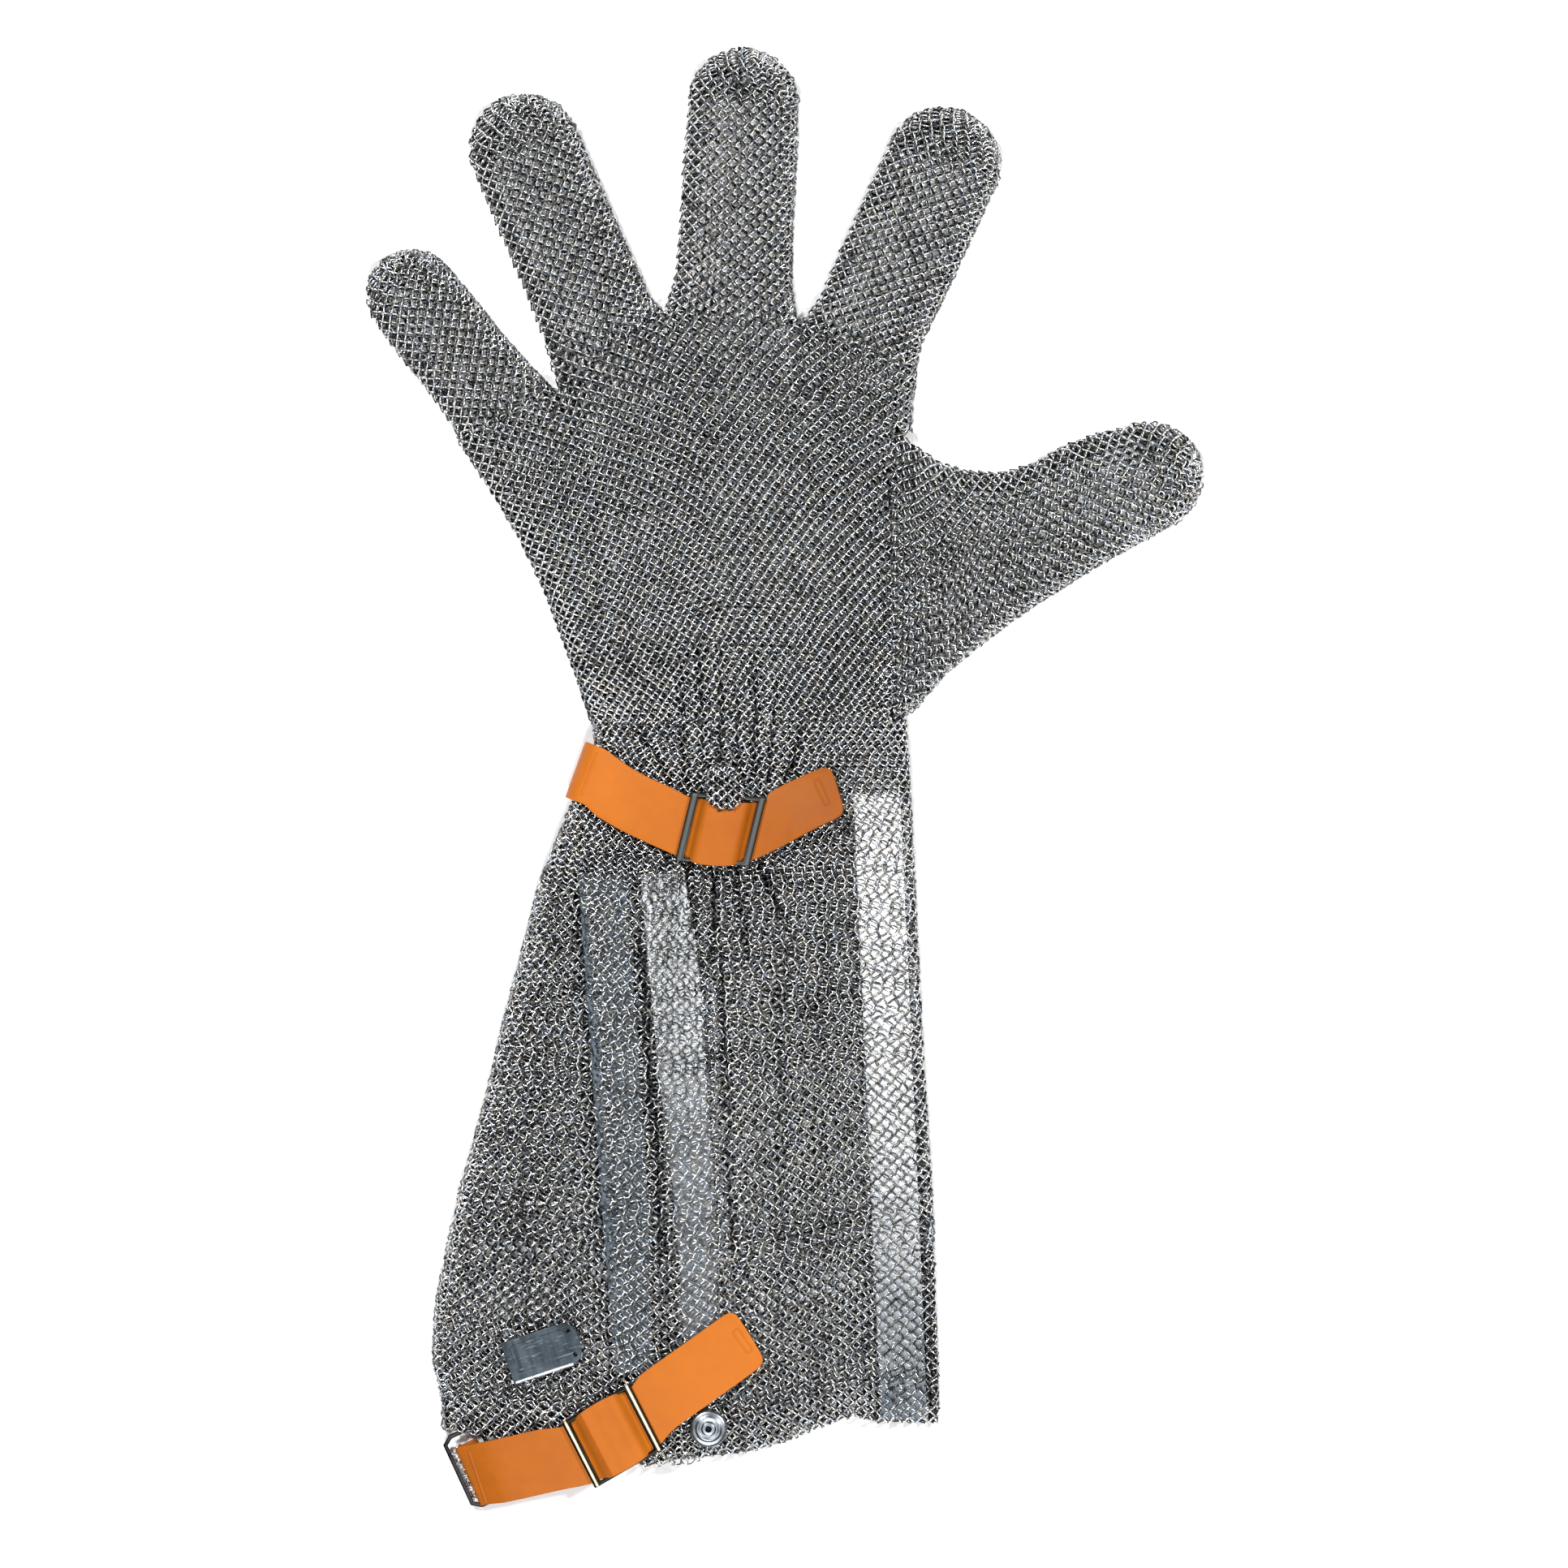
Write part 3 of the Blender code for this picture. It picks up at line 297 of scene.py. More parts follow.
# mail: folds, gathers and waves
folds = {"creases": (((-65.8, -36), (-62.5, -76), 1.9, 1.5), ((-62.5, -76), (-59.3, -114), 1.9, 1.5),
        ((-59.3, -114), (-55.4, -166), 1.6, 1.5), ((-46, -52), (-42.4, -96), 1.6, 1.4),
        ((-42.4, -96), (-38.5, -153), 1.5, 1.4), ((-20.4, -60), (-16.5, -150), 1.2, 1.1),
        ((-0.8, -62), (-1.5, -150), 0.8, 2.2), ((13.0, -40), (10.0, -130), 0.6, 2.5),
        ((-84, -120), (-82, -175), 0.8, 2.4)),
    "gathers": (((-37, 0), (-49, 22), 1.0, 1.0), ((-31.7, 0), (-34.5, 38), 1.1, 1.0),
        ((-26, 3), (-28.5, 46), 1.2, 1.0), ((-20.3, 7), (-21.5, 44), 1.2, 0.9),
        ((-14.6, 5), (-15.8, 30), 1.0, 0.9), ((-9.6, 3), (-10.6, 40), 1.3, 1.0),
        ((-4.7, 0), (-3.4, 34), 1.4, 1.0), ((0.3, -2), (7, 22), 1.2, 1.1),
        ((-30.5, -27), (-34, -50), 1.5, 1.2), ((-22.5, -29), (-23.5, -62), 1.6, 1.2),
        ((-16, -28), (-12, -56), 1.6, 1.2), ((-9, -24), (2, -50), 1.3, 1.3),
        ((-37, -24), (-46, -48), 1.2, 1.4)),
    "lump": ((-19.8, 0.5), 6.4, 3.6, 1.0), "waves": 26, "waveHeight": 0.25, "slip": 0.25, "shade": 0.5,
    "shadeWidth": 1.5, "steepest": 1.2}
waveTurns = chance.uniform(-0.5, 0.5, folds["waves"])
waveLengths = chance.uniform(9.0, 38.0, folds["waves"])
waveStarts = chance.uniform(0, 2 * math.pi, (3, folds["waves"]))


def waved(spots, start):  # a smooth uneven swell, finer across the cuff than along it
    way = spots[:, :1] * np.cos(waveTurns) + spots[:, 1:2] * np.sin(waveTurns) * 0.8
    return np.sin(way * 2 * math.pi / waveLengths + start).mean(axis=1) * math.sqrt(folds["waves"]) * 0.7


def creased(spots, broader=1.0):  # how deep in a crease or gather each spot lies
    depth = np.zeros(len(spots))
    for start, end, deep, wide in (*folds["creases"], *folds["gathers"]):
        start, way = np.array(start, float), np.array(end, float) - np.array(start, float)
        share = np.clip((spots - start) @ way / way.dot(way), 0, 1)
        away = np.linalg.norm(spots - start - share[:, None] * way, axis=1)
        depth += deep * np.exp(-(away / wide / broader) ** 2) * (1 - 0.6 * np.abs(share - 0.35))
    return depth


def lumped(spots):  # the mail lifted towards the slide's upper rail
    middle, wide, high = folds["lump"][0], folds["lump"][1], folds["lump"][2]
    away = (spots - np.array(middle)) / np.array((wide, wide * 1.1))
    return high * np.exp(-(away ** 2).sum(axis=1) ** 1.5)


def rise(spots):
    return folds["waveHeight"] * waved(spots, waveStarts[0]) - creased(spots) + lumped(spots)


def folded(places, outs):  # the upper sheet moved and tipped by its folds
    spots, up = places[:, :2] / mm, (outs[:, 2:] > 0.3).astype(float)
    small = 0.3
    slopes = np.stack([(rise(spots + step) - rise(spots - step)) / (2 * small)
        for step in (np.array((small, 0.0)), np.array((0.0, small)))], axis=1)
    moved = places.copy()
    moved[:, 2] += rise(spots) * up[:, 0] * mm
    moved[:, 0] += folds["slip"] * waved(spots, waveStarts[1]) * mm * up[:, 0]
    moved[:, 1] += folds["slip"] * waved(spots[:, ::-1], waveStarts[2]) * mm * up[:, 0]
    pulled = lumped(spots) / folds["lump"][2]
    moved[:, 1] -= folds["lump"][3] * pulled * mm * up[:, 0]
    tipped = outs.copy()
    tipped[:, :2] -= np.clip(slopes, -folds["steepest"], folds["steepest"]) * up
    return moved, unit(tipped)


# mail: rings by Geometry Nodes

def modelRing(name, turns, radius, wire):
    bpy.ops.object.select_all(action="DESELECT")
    bpy.ops.mesh.primitive_torus_add(major_segments=turns, minor_segments=3, major_radius=radius,
        minor_radius=wire, generate_uvs=False)
    made = bpy.context.object
    made.name = name
    made.data.shade_smooth()
    return made


def ringNodes(ringObject):
    tree = bpy.data.node_groups.new("rings", "GeometryNodeTree")
    tree.interface.new_socket("Geometry", in_out="INPUT", socket_type="NodeSocketGeometry")
    tree.interface.new_socket("Geometry", in_out="OUTPUT", socket_type="NodeSocketGeometry")
    make = tree.nodes.new
    entry, leave = make("NodeGroupInput"), make("NodeGroupOutput")
    info, copies = make("GeometryNodeObjectInfo"), make("GeometryNodeInstanceOnPoints")
    real, asTurn = make("GeometryNodeRealizeInstances"), make("FunctionNodeEulerToRotation")
    turn, size = make("GeometryNodeInputNamedAttribute"), make("GeometryNodeInputNamedAttribute")
    info.inputs["Object"].default_value = ringObject
    turn.data_type, size.data_type = "FLOAT_VECTOR", "FLOAT"
    turn.inputs["Name"].default_value, size.inputs["Name"].default_value = "turn", "size"
    for start, end in (
            (entry.outputs[0], copies.inputs["Points"]),
            (info.outputs["Geometry"], copies.inputs["Instance"]),
            (turn.outputs["Attribute"], asTurn.inputs[0]),
            (asTurn.outputs[0], copies.inputs["Rotation"]),
            (size.outputs["Attribute"], copies.inputs["Scale"]),
            (copies.outputs[0], real.inputs[0]),
            (real.outputs[0], leave.inputs[0])):
        tree.links.new(start, end)
    return tree


def layRings(name, places, outs, alongs, leans, turns, replaced):
    # a turned copy of the ring at each place, joined as one piece
    count = len(places)
    standing = np.clip(np.abs(outs[:, 2:]) / mail["upright"], 0, 1)
    isUpper = turns == mail["upperTurns"]
    lean = mail["lean"] * standing + mail["sideLean"] * (1 - standing) if isUpper else mail["underLean"]
    lean = np.radians(lean) * leans[:, None]
    across = unit(np.cross(outs, alongs))
    slant = mail["slant"][0] * alongs + mail["slant"][1] * leans[:, None] * across
    axis = unit(np.cos(lean) * outs + np.sin(lean) * slant + chance.normal(0, mail["tremble"], (count, 3)))
    side = unit(np.cross(outs + 0.01 * alongs, axis))
    other = unit(np.cross(axis, side))
    side = np.cross(other, axis)
    turn = np.stack((np.arctan2(other[:, 2], axis[:, 2]), -np.arcsin(np.clip(side[:, 2], -1, 1)),
        np.arctan2(side[:, 1], side[:, 0])), axis=1)
    points = places + chance.normal(0, mail["drift"], (count, 3))
    mesh = bpy.data.meshes.new(name)
    mesh.vertices.add(count)
    mesh.vertices.foreach_set("co", points.ravel())
    spots = places[:, :2] / mm
    tone = mail["tone"] + chance.normal(0, mail["toneSpread"], count)
    tone -= folds["shade"] * creased(spots, folds["shadeWidth"])
    tone -= mail["edgeShade"] * (1 - np.clip(outs[:, 2] / mail["edgeFrom"], 0, 1))
    # painted highlights and painted shade: the rings' tone is raised or lowered in round patches
    for (x, y), wide, lighter in mail["paintedLightAndShade"]:
        tone += lighter * np.exp(-((spots - (x, y)) ** 2).sum(axis=1) / wide ** 2)
    # painted shade: rings over the bright stays are darkened so they stand dark against them
    for (x, y), wide, high, fall, darker in mail["paintedShadeOverStays"]:
        over = (np.abs(spots[:, 0] - x + (spots[:, 1] - y) * fall) < wide) & (np.abs(spots[:, 1] - y) < high)
        tone -= np.where(over, darker, 0)
    size = np.ones(count)
    for (x, y), wide, high, larger in mail["bright"]:
        near = (np.abs(spots[:, 0] - x) < wide) & (np.abs(spots[:, 1] - y) < high)
        tone, size = np.where(near, tone + mail["brighter"], tone), np.where(near, larger, size)
    mesh.attributes.new("turn", "FLOAT_VECTOR", "POINT").data.foreach_set("vector", turn.ravel())
    mesh.attributes.new("size", "FLOAT", "POINT").data.foreach_set("value", size)
    piece = linked(name, mesh)
    placing = piece.modifiers.new("rings", "NODES")
    placing.node_group = ringTrees[(upperRing if isUpper else underRing).name]
    onlySelect(piece)
    bpy.ops.object.modifier_apply(modifier="rings")
    own = piece.data
    reach = np.empty(len(own.vertices) * 3)
    own.vertices.foreach_get("co", reach)
    reach = ((reach.reshape(count, -1, 3) - points[:, None]) * outs[:, None]).sum(axis=2) / mail["ringRadius"]
    # painted shade darkens each ring inwards, and painted glints brighten or darken it at random along its
    # turns
    tone = tone[:, None] + mail["depthShade"] * (reach - 0.5)
    tone = np.clip(tone + np.repeat(chance.normal(0, mail["glint"], (count, turns)), 3, axis=1), 0, 1)
    own.attributes.new("tone", "FLOAT", "POINT").data.foreach_set("value", tone.ravel())
    cells = math.ceil(math.sqrt(count))  # each ring gets a square of its own in the map, a part for each turn
    own.uv_layers.new(name="OFBake")
    order = np.arange(len(own.polygons))
    ring, part = order // (turns * 3), order % (turns * 3) // 3
    square = np.stack((ring % cells + part % 3 / 3, ring // cells + part // 3 / 2), axis=1)
    corner = np.tile(np.array(((0.2, 0.2), (0.8, 0.2), (0.8, 0.8), (0.2, 0.8))), (len(order), 1))
    mapped = (np.repeat(square, 4, axis=0) + corner / (3, 2)) / cells
    own.uv_layers["OFBake"].data.foreach_set("uv", mapped.ravel())
    own.materials.clear()
    own.materials.append(mailSteel if isUpper else shadedSteel)
    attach(piece, "root")
    for node in replaced:
        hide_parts(node)
    print("laid", name, count, "rings", len(own.polygons) * 2, "triangles")
    return piece


def keep(rings, chosen):
    return tuple(values[chosen] for values in rings)


def layBoth(name, rings, replaced, split=()):
    # rounder rings on the upper side, which is cut up at split where it is wide, and plainer ones under it
    side = np.sign(rings[1][:, 2].dot(np.where(rings[0][:, 2] > mail["topFrom"], 1.0, -1.0)))
    kept = (side * rings[1][:, 2] > -0.3) | (rings[0][:, 2] < mail["keptBelow"])
    places, outs, alongs, leans, sparse = keep(rings, kept)
    outs, leans = side * outs, side * leans
    upper = outs[:, 2] > -0.25
    places, outs = folded(places, outs)
    standing = np.clip(np.abs(outs[:, 2]) / mail["upright"], 0, 1)  # rings along the sides lie against them
    centres = places - outs * (mail["sink"] + (mail["sideSink"] - mail["sink"]) * (1 - standing))[:, None]
    centres[:, 2] = np.maximum(centres[:, 2], mail["lowest"])
    across = np.searchsorted(np.array(split) * mm, places[:, 0])
    parts = {"upper" + "ABC"[k] if split else "upper": upper & (across == k) for k in range(len(split) + 1)}
    parts["under"] = ~upper & ((sparse != 0) | (places[:, 1] < mail["fullBelow"]))
    for part, chosen in parts.items():
        turns = mail["underTurns"] if part == "under" else mail["upperTurns"]
        layRings(name + "_" + part, centres[chosen], outs[chosen], alongs[chosen],
            (sparse if part == "under" else leans)[chosen], turns,
            replaced if part == list(parts)[0] else ())


def mailFinish(name, dark, light):
    finish = Finish(name, Metallic=1.0, Roughness=0.27)
    tone = finish.node("ShaderNodeAttribute", {"attribute_name": "tone"}, out=2)
    cloud, tint = finish.noise(90.0, 3.0), finish.noise(330.0, 1.0)
    value = (tone * 0.85 + cloud * 0.15).clipped(0, 1)
    cool, warm = (tuple(c * f for c, f in zip(light, tinted))
        for tinted in ((0.93, 0.98, 1.05), (1.0, 0.97, 0.9)))
    bright = finish.mix(finish.ramp(tint, (0.4, 0.0), (0.6, 1.0)), cool, warm)
    return finish.wear(Base_Color=finish.mix(value, dark, bright))


mailSteel = mailFinish("mailSteel", (0.09, 0.092, 0.096), (1.0, 1.0, 1.0))
shadedSteel = mailFinish("shadedSteel", (0.04, 0.041, 0.044), (0.2, 0.206, 0.215))
upperRing = modelRing("upperRing", mail["upperTurns"], mail["ringRadius"], mail["wireRadius"])
underRing = modelRing("underRing", mail["underTurns"], mail["underRadius"], mail["underWire"])
ringTrees = {ring.name: ringNodes(ring) for ring in (upperRing, underRing)}


# mail: cuff
cuff = {"top": 18.0,
    "slit": ((-219, -20.0), (-207, -19.2), (-192, -17.7), (-166, -16.6), (-133, -18.6), (-98, -20.6),
        (-62, -21.8), (-28, -23.0), (18, -23.0)),
    "hemLeft": ((-107.4, -209.6), (-96, -211.6), (-85, -212.4), (-70, -213), (-58, -216), (-46, -220.6),
        (-31, -220.2), (-24.2, -217.2), (-19.4, -212.4)),
    "hemRight": ((-31, -216.0), (-16.4, -217.0), (-7.3, -215.2), (1.8, -212.0), (16.1, -206.4),
        (23.9, -205.2), (30.4, -207), (47.8, -207.2)),
    "hemShort": 0.4, "lap": 3.5, "slitEnd": -30.0, "hemIn": 2.2, "surfaceEnds": (-0.2045, 0.0172),
    "linksInLoop": ((-105.9, -214.6, 4.6), (-98.9, -230.3, 4.6), 10, 1.05)}


def sides(surface, y, z=5.5 * mm):  # the outline's left and right at a height
    left = surface.ray_cast(Vector((-0.3, y, z)), Vector((1, 0, 0)))[0]
    right = surface.ray_cast(Vector((0.3, y, z)), Vector((-1, 0, 0)))[0]
    return left.x, right.x


def fromTable(table, at):
    return np.interp(at, [row[0] for row in table], [row[1] for row in table])


def cuffLoops(surface):
    loops, closed = [], []
    slitAt = np.array(sorted(cuff["slit"]))
    count = int(round((cuff["top"] + 211.0) * mm / mail["halfPitch"]))
    for k in range(-1, count + 2):
        part = k / count
        y = (cuff["top"] - part * (cuff["top"] + 212.0)) * mm
        left, right = sides(surface, min(max(y, -203 * mm), 17 * mm))
        slit = np.interp(y / mm, slitAt[:, 0], slitAt[:, 1]) * mm
        isOpen = y < cuff["slitEnd"] * mm
        xs = left + spread(right - left)

        def bent(x, table, short=0.0):
            foot = (fromTable(table, x / mm) + cuff["hemIn"] + short) * mm
            return cuff["top"] * mm + part * (foot - cuff["top"] * mm)

        def sheet(x, table, above=True, short=0.0):
            ys = bent(x, table, short)
            inside = np.column_stack((x, np.clip(ys, *cuff["surfaceEnds"])))
            return np.column_stack((x, ys, heights(surface, inside, above)))

        farTop = sheet(xs[xs > slit + 0.8 * mm], cuff["hemRight"])
        nearTop = sheet(xs[xs < slit - 0.8 * mm], cuff["hemLeft"])
        under = sheet(xs, cuff["hemLeft"][:-3] + cuff["hemRight"][1:], False, cuff["hemShort"])
        farEnd = [[right, farTop[-1, 1], (farTop[-1, 2] + under[-1, 2]) / 2]]
        nearEnd = [[left, nearTop[0, 1], (nearTop[0, 2] + under[0, 2]) / 2]]
        if isOpen:
            hidden = farTop[0] + np.array(((-cuff["lap"] * mm - 0.8 * mm, 0, -0.2 * mm), (0, 0, 0)))
            lastTop = nearTop[-1] + np.array((0.8 * mm, 0, 0))
            loops.append(np.vstack((hidden[:1], farTop, farEnd, under[::-1], nearEnd, nearTop, [lastTop])))
        else:
            loops.append(np.vstack((farTop, farEnd, under[::-1], nearEnd, nearTop)))
        closed.append(not isOpen)
    return loops, closed


def linksInLoop(start, end, count, aside):  # the row of rings inside the black loop
    way = unit(np.array([[end[0] - start[0], end[1] - start[1], 0.0]]))
    across = np.array([[-way[0, 1], way[0, 0], 0.0]])
    side = np.where(np.arange(count) % 2 == 0, 1.0, -1.0)
    places = np.linspace(start, end, count) * mm + side[:, None] * across * aside * mm / 2
    return places, np.tile((0.0, 0.0, 1.0), (count, 1)), np.repeat(way, count, axis=0), side, side


loops, closed = cuffLoops(surfaceOf("cuff_mail"))
cuffRings = zip(weave(loops, [mail["rows"]] * len(loops), closed=closed), linksInLoop(*cuff["linksInLoop"]))
layBoth("cuff_rings", tuple(np.concatenate(pair) for pair in cuffRings), ["cuff_mail"], split=(-54.0, -6.0))


# mail: hand
hand = {"left": ((-62.2, 18.0), (-66.8, 31.6), (-72.3, 47.2), (-78.2, 62.8), (-86.1, 78.4), (-93.0, 90.0),
    (-99.2, 99.5), (-104.8, 108.3)),
    "right": ((39.0, 18.0), (39.4, 37.0), (39.8, 56.0), (40.0, 75.0), (40.2, 93.0), (40.3, 107.0),
    (40.8, 120.0), (42.1, 130.9)),
    "parts": (0.0, 0.17, 0.34, 0.51, 0.67, 0.80, 0.91, 1.0),
    "knuckles": ((-104.8, 108.3), (-72.8, 124.7), (-39.0, 150.7), (4.4, 146.0), (42.1, 130.9)),
    "startShare": 0.387, "steps": 63, "thumbX": 33.4, "thumbY": (19.0, 111.6)}


def fromSide(name, part):
    return np.array([np.interp(part, hand["parts"], np.array(hand[name])[:, a]) for a in (0, 1)])


def palmLine(part):  # a line across the palm, straight at the wrist, bent at the knuckles
    knuckles = np.array(hand["knuckles"])
    steps = np.concatenate(([0.0], np.cumsum(np.linalg.norm(np.diff(knuckles, axis=0), axis=1))))
    share = spread(150 * mm) / (150 * mm)
    sideLeft, sideRight = fromSide("left", part), fromSide("right", part)
    knuckle = np.stack([np.interp(share, steps / steps[-1], knuckles[:, a]) for a in (0, 1)], axis=1)
    chord = np.outer(1 - share, knuckles[0]) + np.outer(share, knuckles[-1])
    straight = np.outer(1 - share, sideLeft) + np.outer(share, sideRight)
    return (straight + part * (knuckle - chord)) * mm, (sideLeft * mm, sideRight * mm), share


def palmLoops(surface):
    loops = []
    for k in range(-1, hand["steps"] + 1):
        line, ends, share = palmLine(min(max((k + 1) / (hand["steps"] + 0.5), 0.004), 0.992))
        loops.append(loopOver(surface, line, ends, int((share < hand["startShare"]).sum())))
    return loops


palmRings = weave(palmLoops(surfaceOf("palm_mail", "thumb_mail")),
    [mail["rows"]] * (hand["steps"] + 2), first=1)
inThumb = ((palmRings[0][:, 0] > hand["thumbX"] * mm) & (palmRings[0][:, 1] > hand["thumbY"][0] * mm)
    & (palmRings[0][:, 1] < hand["thumbY"][1] * mm))
layBoth("palm_rings", keep(palmRings, ~inThumb), ["palm_mail"])


# mail: fingers and thumb
fingers = {"little_finger_mail": {"root": 0, "tip": (-119.6, 155.4), "radius": 14.8, "near": 15.9,
        "far": 15.2, "rows": 34},
    "ring_finger_mail": {"root": 1, "tip": (-83.5, 202.2), "radius": 17.8, "near": 18.4, "far": 17.9,
        "rows": 40},
    "middle_finger_mail": {"root": 2, "tip": (-13.5, 217.2), "radius": 17.5, "near": 18.9, "far": 18.2,
        "rows": 40},
    "index_finger_mail": {"root": 3, "tip": (50.4, 197.4), "radius": 18.4, "near": 17.9, "far": 18.4,
        "rows": 40}}
thumb = {"upper": ((33.6, 111.4), (36.5, 111.4), (42, 107), (49, 102.2), (58, 99.2), (68, 98.5),
        (79, 101.5), (90, 107.6), (100, 111.5), (109, 113.2)),
    "lower": ((33.6, 19), (36.5, 19), (42, 23), (51.5, 34), (64, 44.4), (76.5, 53.4), (88.5, 61.4),
        (101, 69), (113.5, 76), (124, 82))}


def tubeLoops(surface, lefts, rights, rows=None):
    # loops along a tube through pairs of outline points and over its half-round tip
    lefts, rights = np.array(lefts) * mm, np.array(rights) * mm
    middles = (lefts + rights) / 2
    lengths = np.concatenate(([0.0], np.cumsum(np.linalg.norm(np.diff(middles, axis=0), axis=1))))
    count = int(round(lengths[-1] / mail["halfPitch"]))
    loops, counts = [], []
    wanted = np.linspace(0.45 * mail["halfPitch"], lengths[-1], count)
    pairs = [(np.array([np.interp(s, lengths, lefts[:, a]) for a in (0, 1)]),
        np.array([np.interp(s, lengths, rights[:, a]) for a in (0, 1)])) for s in wanted]
    left, right = pairs[-1]
    middle, reach = (left + right) / 2, np.linalg.norm(right - left) / 2
    aside = (right - left) / (2 * reach)
    forward = np.array((-aside[1], aside[0]))
    angles = np.arange(1, int(math.pi / 2 * reach / mail["halfPitch"]) + 1) * mail["halfPitch"] / reach
    for angle in angles[angles < math.pi / 2 - 0.06]:
        centre, half = middle + forward * reach * math.sin(angle), reach * math.cos(angle)
        pairs.append((centre - aside * half, centre + aside * half))
    pairs.insert(0, (2 * pairs[0][0] - pairs[1][0], 2 * pairs[0][1] - pairs[1][1]))
    for k, pair in enumerate(pairs):  # the first loop lies outside the surface and takes the next one's line
        loops.append(loopOver(surface, acrossLine(*pairs[max(k, 1)]), pair))
    loops.append(np.repeat([[*(middle + forward * reach), mail["roll"]]], len(loops[-1]), axis=0)
        + (loops[-1] - loops[-1].mean(axis=0)) * 0.2)
    for k, loop in enumerate(loops):
        if rows and k <= count:
            counts.append(rows)
        else:
            fit = max(int(loopLength(loop) / mail["apart"] / 2) * 2, 6)
            counts.append(min(fit, counts[-1]) if counts else fit)
    return loops, counts


for name, finger in fingers.items():
    rootLeft, rootRight = (np.array(hand["knuckles"][finger["root"] + k]) for k in (0, 1))
    root, tip = (rootLeft + rootRight) / 2, np.array(finger["tip"])
    forward = (tip - root) / np.linalg.norm(tip - root)
    aside = np.array((forward[1], -forward[0]))
    base = (rootRight - rootLeft) / np.linalg.norm(rootRight - rootLeft)
    lefts, rights = [rootLeft + base * 0.3], [rootRight - base * 0.3]
    for part, half in ((0.16, finger["near"]), (0.42, finger["far"]), (0.72, finger["far"]),
            (1.0, finger["radius"])):
        lefts.append(root + (tip - root) * part - aside * half)
        rights.append(root + (tip - root) * part + aside * half)
    fingerRings = weave(*tubeLoops(surfaceOf(name), lefts, rights, finger["rows"]))
    layBoth(name.replace("mail", "rings"), fingerRings, [name])
thumbRings = weave(*tubeLoops(surfaceOf("thumb_mail"), thumb["upper"], thumb["lower"]))
layBoth("thumb_rings", thumbRings, ["thumb_mail"])


# mail: the bunch that laps over the wrist slide
bunch = {"middle": (-19.4, -2.6), "half": (5.8, 6.6), "across": 1.6, "along": 1.4, "crown": 1.8,
    "backing": 0.86, "under": 0.75,
    "profile": ((-10.2, 21.6), (-8.5, 22.8), (-6.0, 23.3), (-3.0, 22.8), (0.0, 21.2), (2.0, 19.8),
        (5.0, 17.6), (9.0, 15.4))}


def bunchHeight(x, y):
    aside = (x - bunch["middle"][0]) / bunch["half"][0]
    return fromTable(bunch["profile"], y) - bunch["crown"] * aside ** 2


def layBunch():
    (wide, high), step = bunch["half"], 0.3
    counts = (int(2 * wide / bunch["across"]) + 1, int(2 * high / bunch["along"]) + 1)
    columns, rows = (grid.ravel() for grid in np.meshgrid(np.arange(counts[0]), np.arange(counts[1])))
    x, y = columns * bunch["across"] - wide, rows * bunch["along"] - high
    away = (x / wide) ** 2 + np.abs(y / high) ** 2.5
    x, y, turnedOver = x + bunch["middle"][0], y + bunch["middle"][1], (columns + rows) % 2
    slopeX = (bunchHeight(x + step, y) - bunchHeight(x - step, y)) / (2 * step)
    slopeY = (bunchHeight(x, y + step) - bunchHeight(x, y - step)) / (2 * step)
    level = np.ones(len(x))
    places = np.column_stack((x, y, bunchHeight(x, y)))
    outs, alongs = np.column_stack((-slopeX, -slopeY, level)), np.column_stack((0 * level, -level, -slopeY))
    rings = (places, unit(outs), unit(alongs), np.where(turnedOver, 1.0, -1.0))
    for part, turns, reach, lower in (("rings", mail["upperTurns"], 1.0, 0.0),
            ("under", mail["underTurns"], bunch["backing"] ** 2, bunch["under"])):
        places, outs, alongs, leans = keep(rings, (away < reach) & ((part == "rings") | (turnedOver == 0)))
        layRings("wrist_bunch_" + part, (places - (0, 0, lower)) * mm, outs, alongs, leans, turns,
            ())


layBunch()
for ring in (upperRing, underRing):
    bpy.data.objects.remove(ring)
print("mail laid")


# helpers for the straps and fittings

def copyOf(node, name):  # a node's shape as whole faces, to be worked further
    mesh = nodes[node].data.copy()
    mesh.materials.clear()
    piece = linked(name, mesh)
    onlySelect(piece)
    editWhole()
    bpy.ops.mesh.remove_doubles(threshold=0.02 * mm)
    bpy.ops.mesh.tris_convert_to_quads(face_threshold=0.7, shape_threshold=0.7)
    endEdit()
    return piece


def chooseFaces(mesh, wanted):  # faces picked by a rule on their middle and normal
    for item in (*mesh.vertices, *mesh.edges):
        item.select = False
    for face in mesh.polygons:
        face.select = bool(wanted(face.center, face.normal))


def applyAll(piece):
    onlySelect(piece)
    for modifier in list(piece.modifiers):
        bpy.ops.object.modifier_apply(modifier=modifier.name)


def soften(piece, width, segments, angle=35.0, level=0):
    bevel = piece.modifiers.new("edges", "BEVEL")
    bevel.width, bevel.segments, bevel.limit_method = width, segments, "ANGLE"
    bevel.angle_limit, bevel.harden_normals = math.radians(angle), False
    if level:
        smooth = piece.modifiers.new("smooth", "SUBSURF")
        smooth.levels = smooth.render_levels = level
    applyAll(piece)


def flatten(piece, angle=4.0):  # the loose triangles of a flat side made one face again
    onlySelect(piece)
    editWhole()
    bpy.ops.mesh.dissolve_limited(angle_limit=math.radians(angle))
    endEdit()


def laidOn(piece, outline, lift):  # a line of points let down on a piece's upper side
    mesh = piece.data
    surface = BVHTree.FromPolygons([v.co.copy() for v in mesh.vertices],
        [tuple(f.vertices) for f in mesh.polygons])
    points = []
    for x, y in outline:
        hit = surface.ray_cast(Vector((x * mm, y * mm, 0.1)), Vector((0, 0, -1)))[0]
        if hit is not None:
            points.append((hit.x, hit.y, hit.z + lift))
    return points


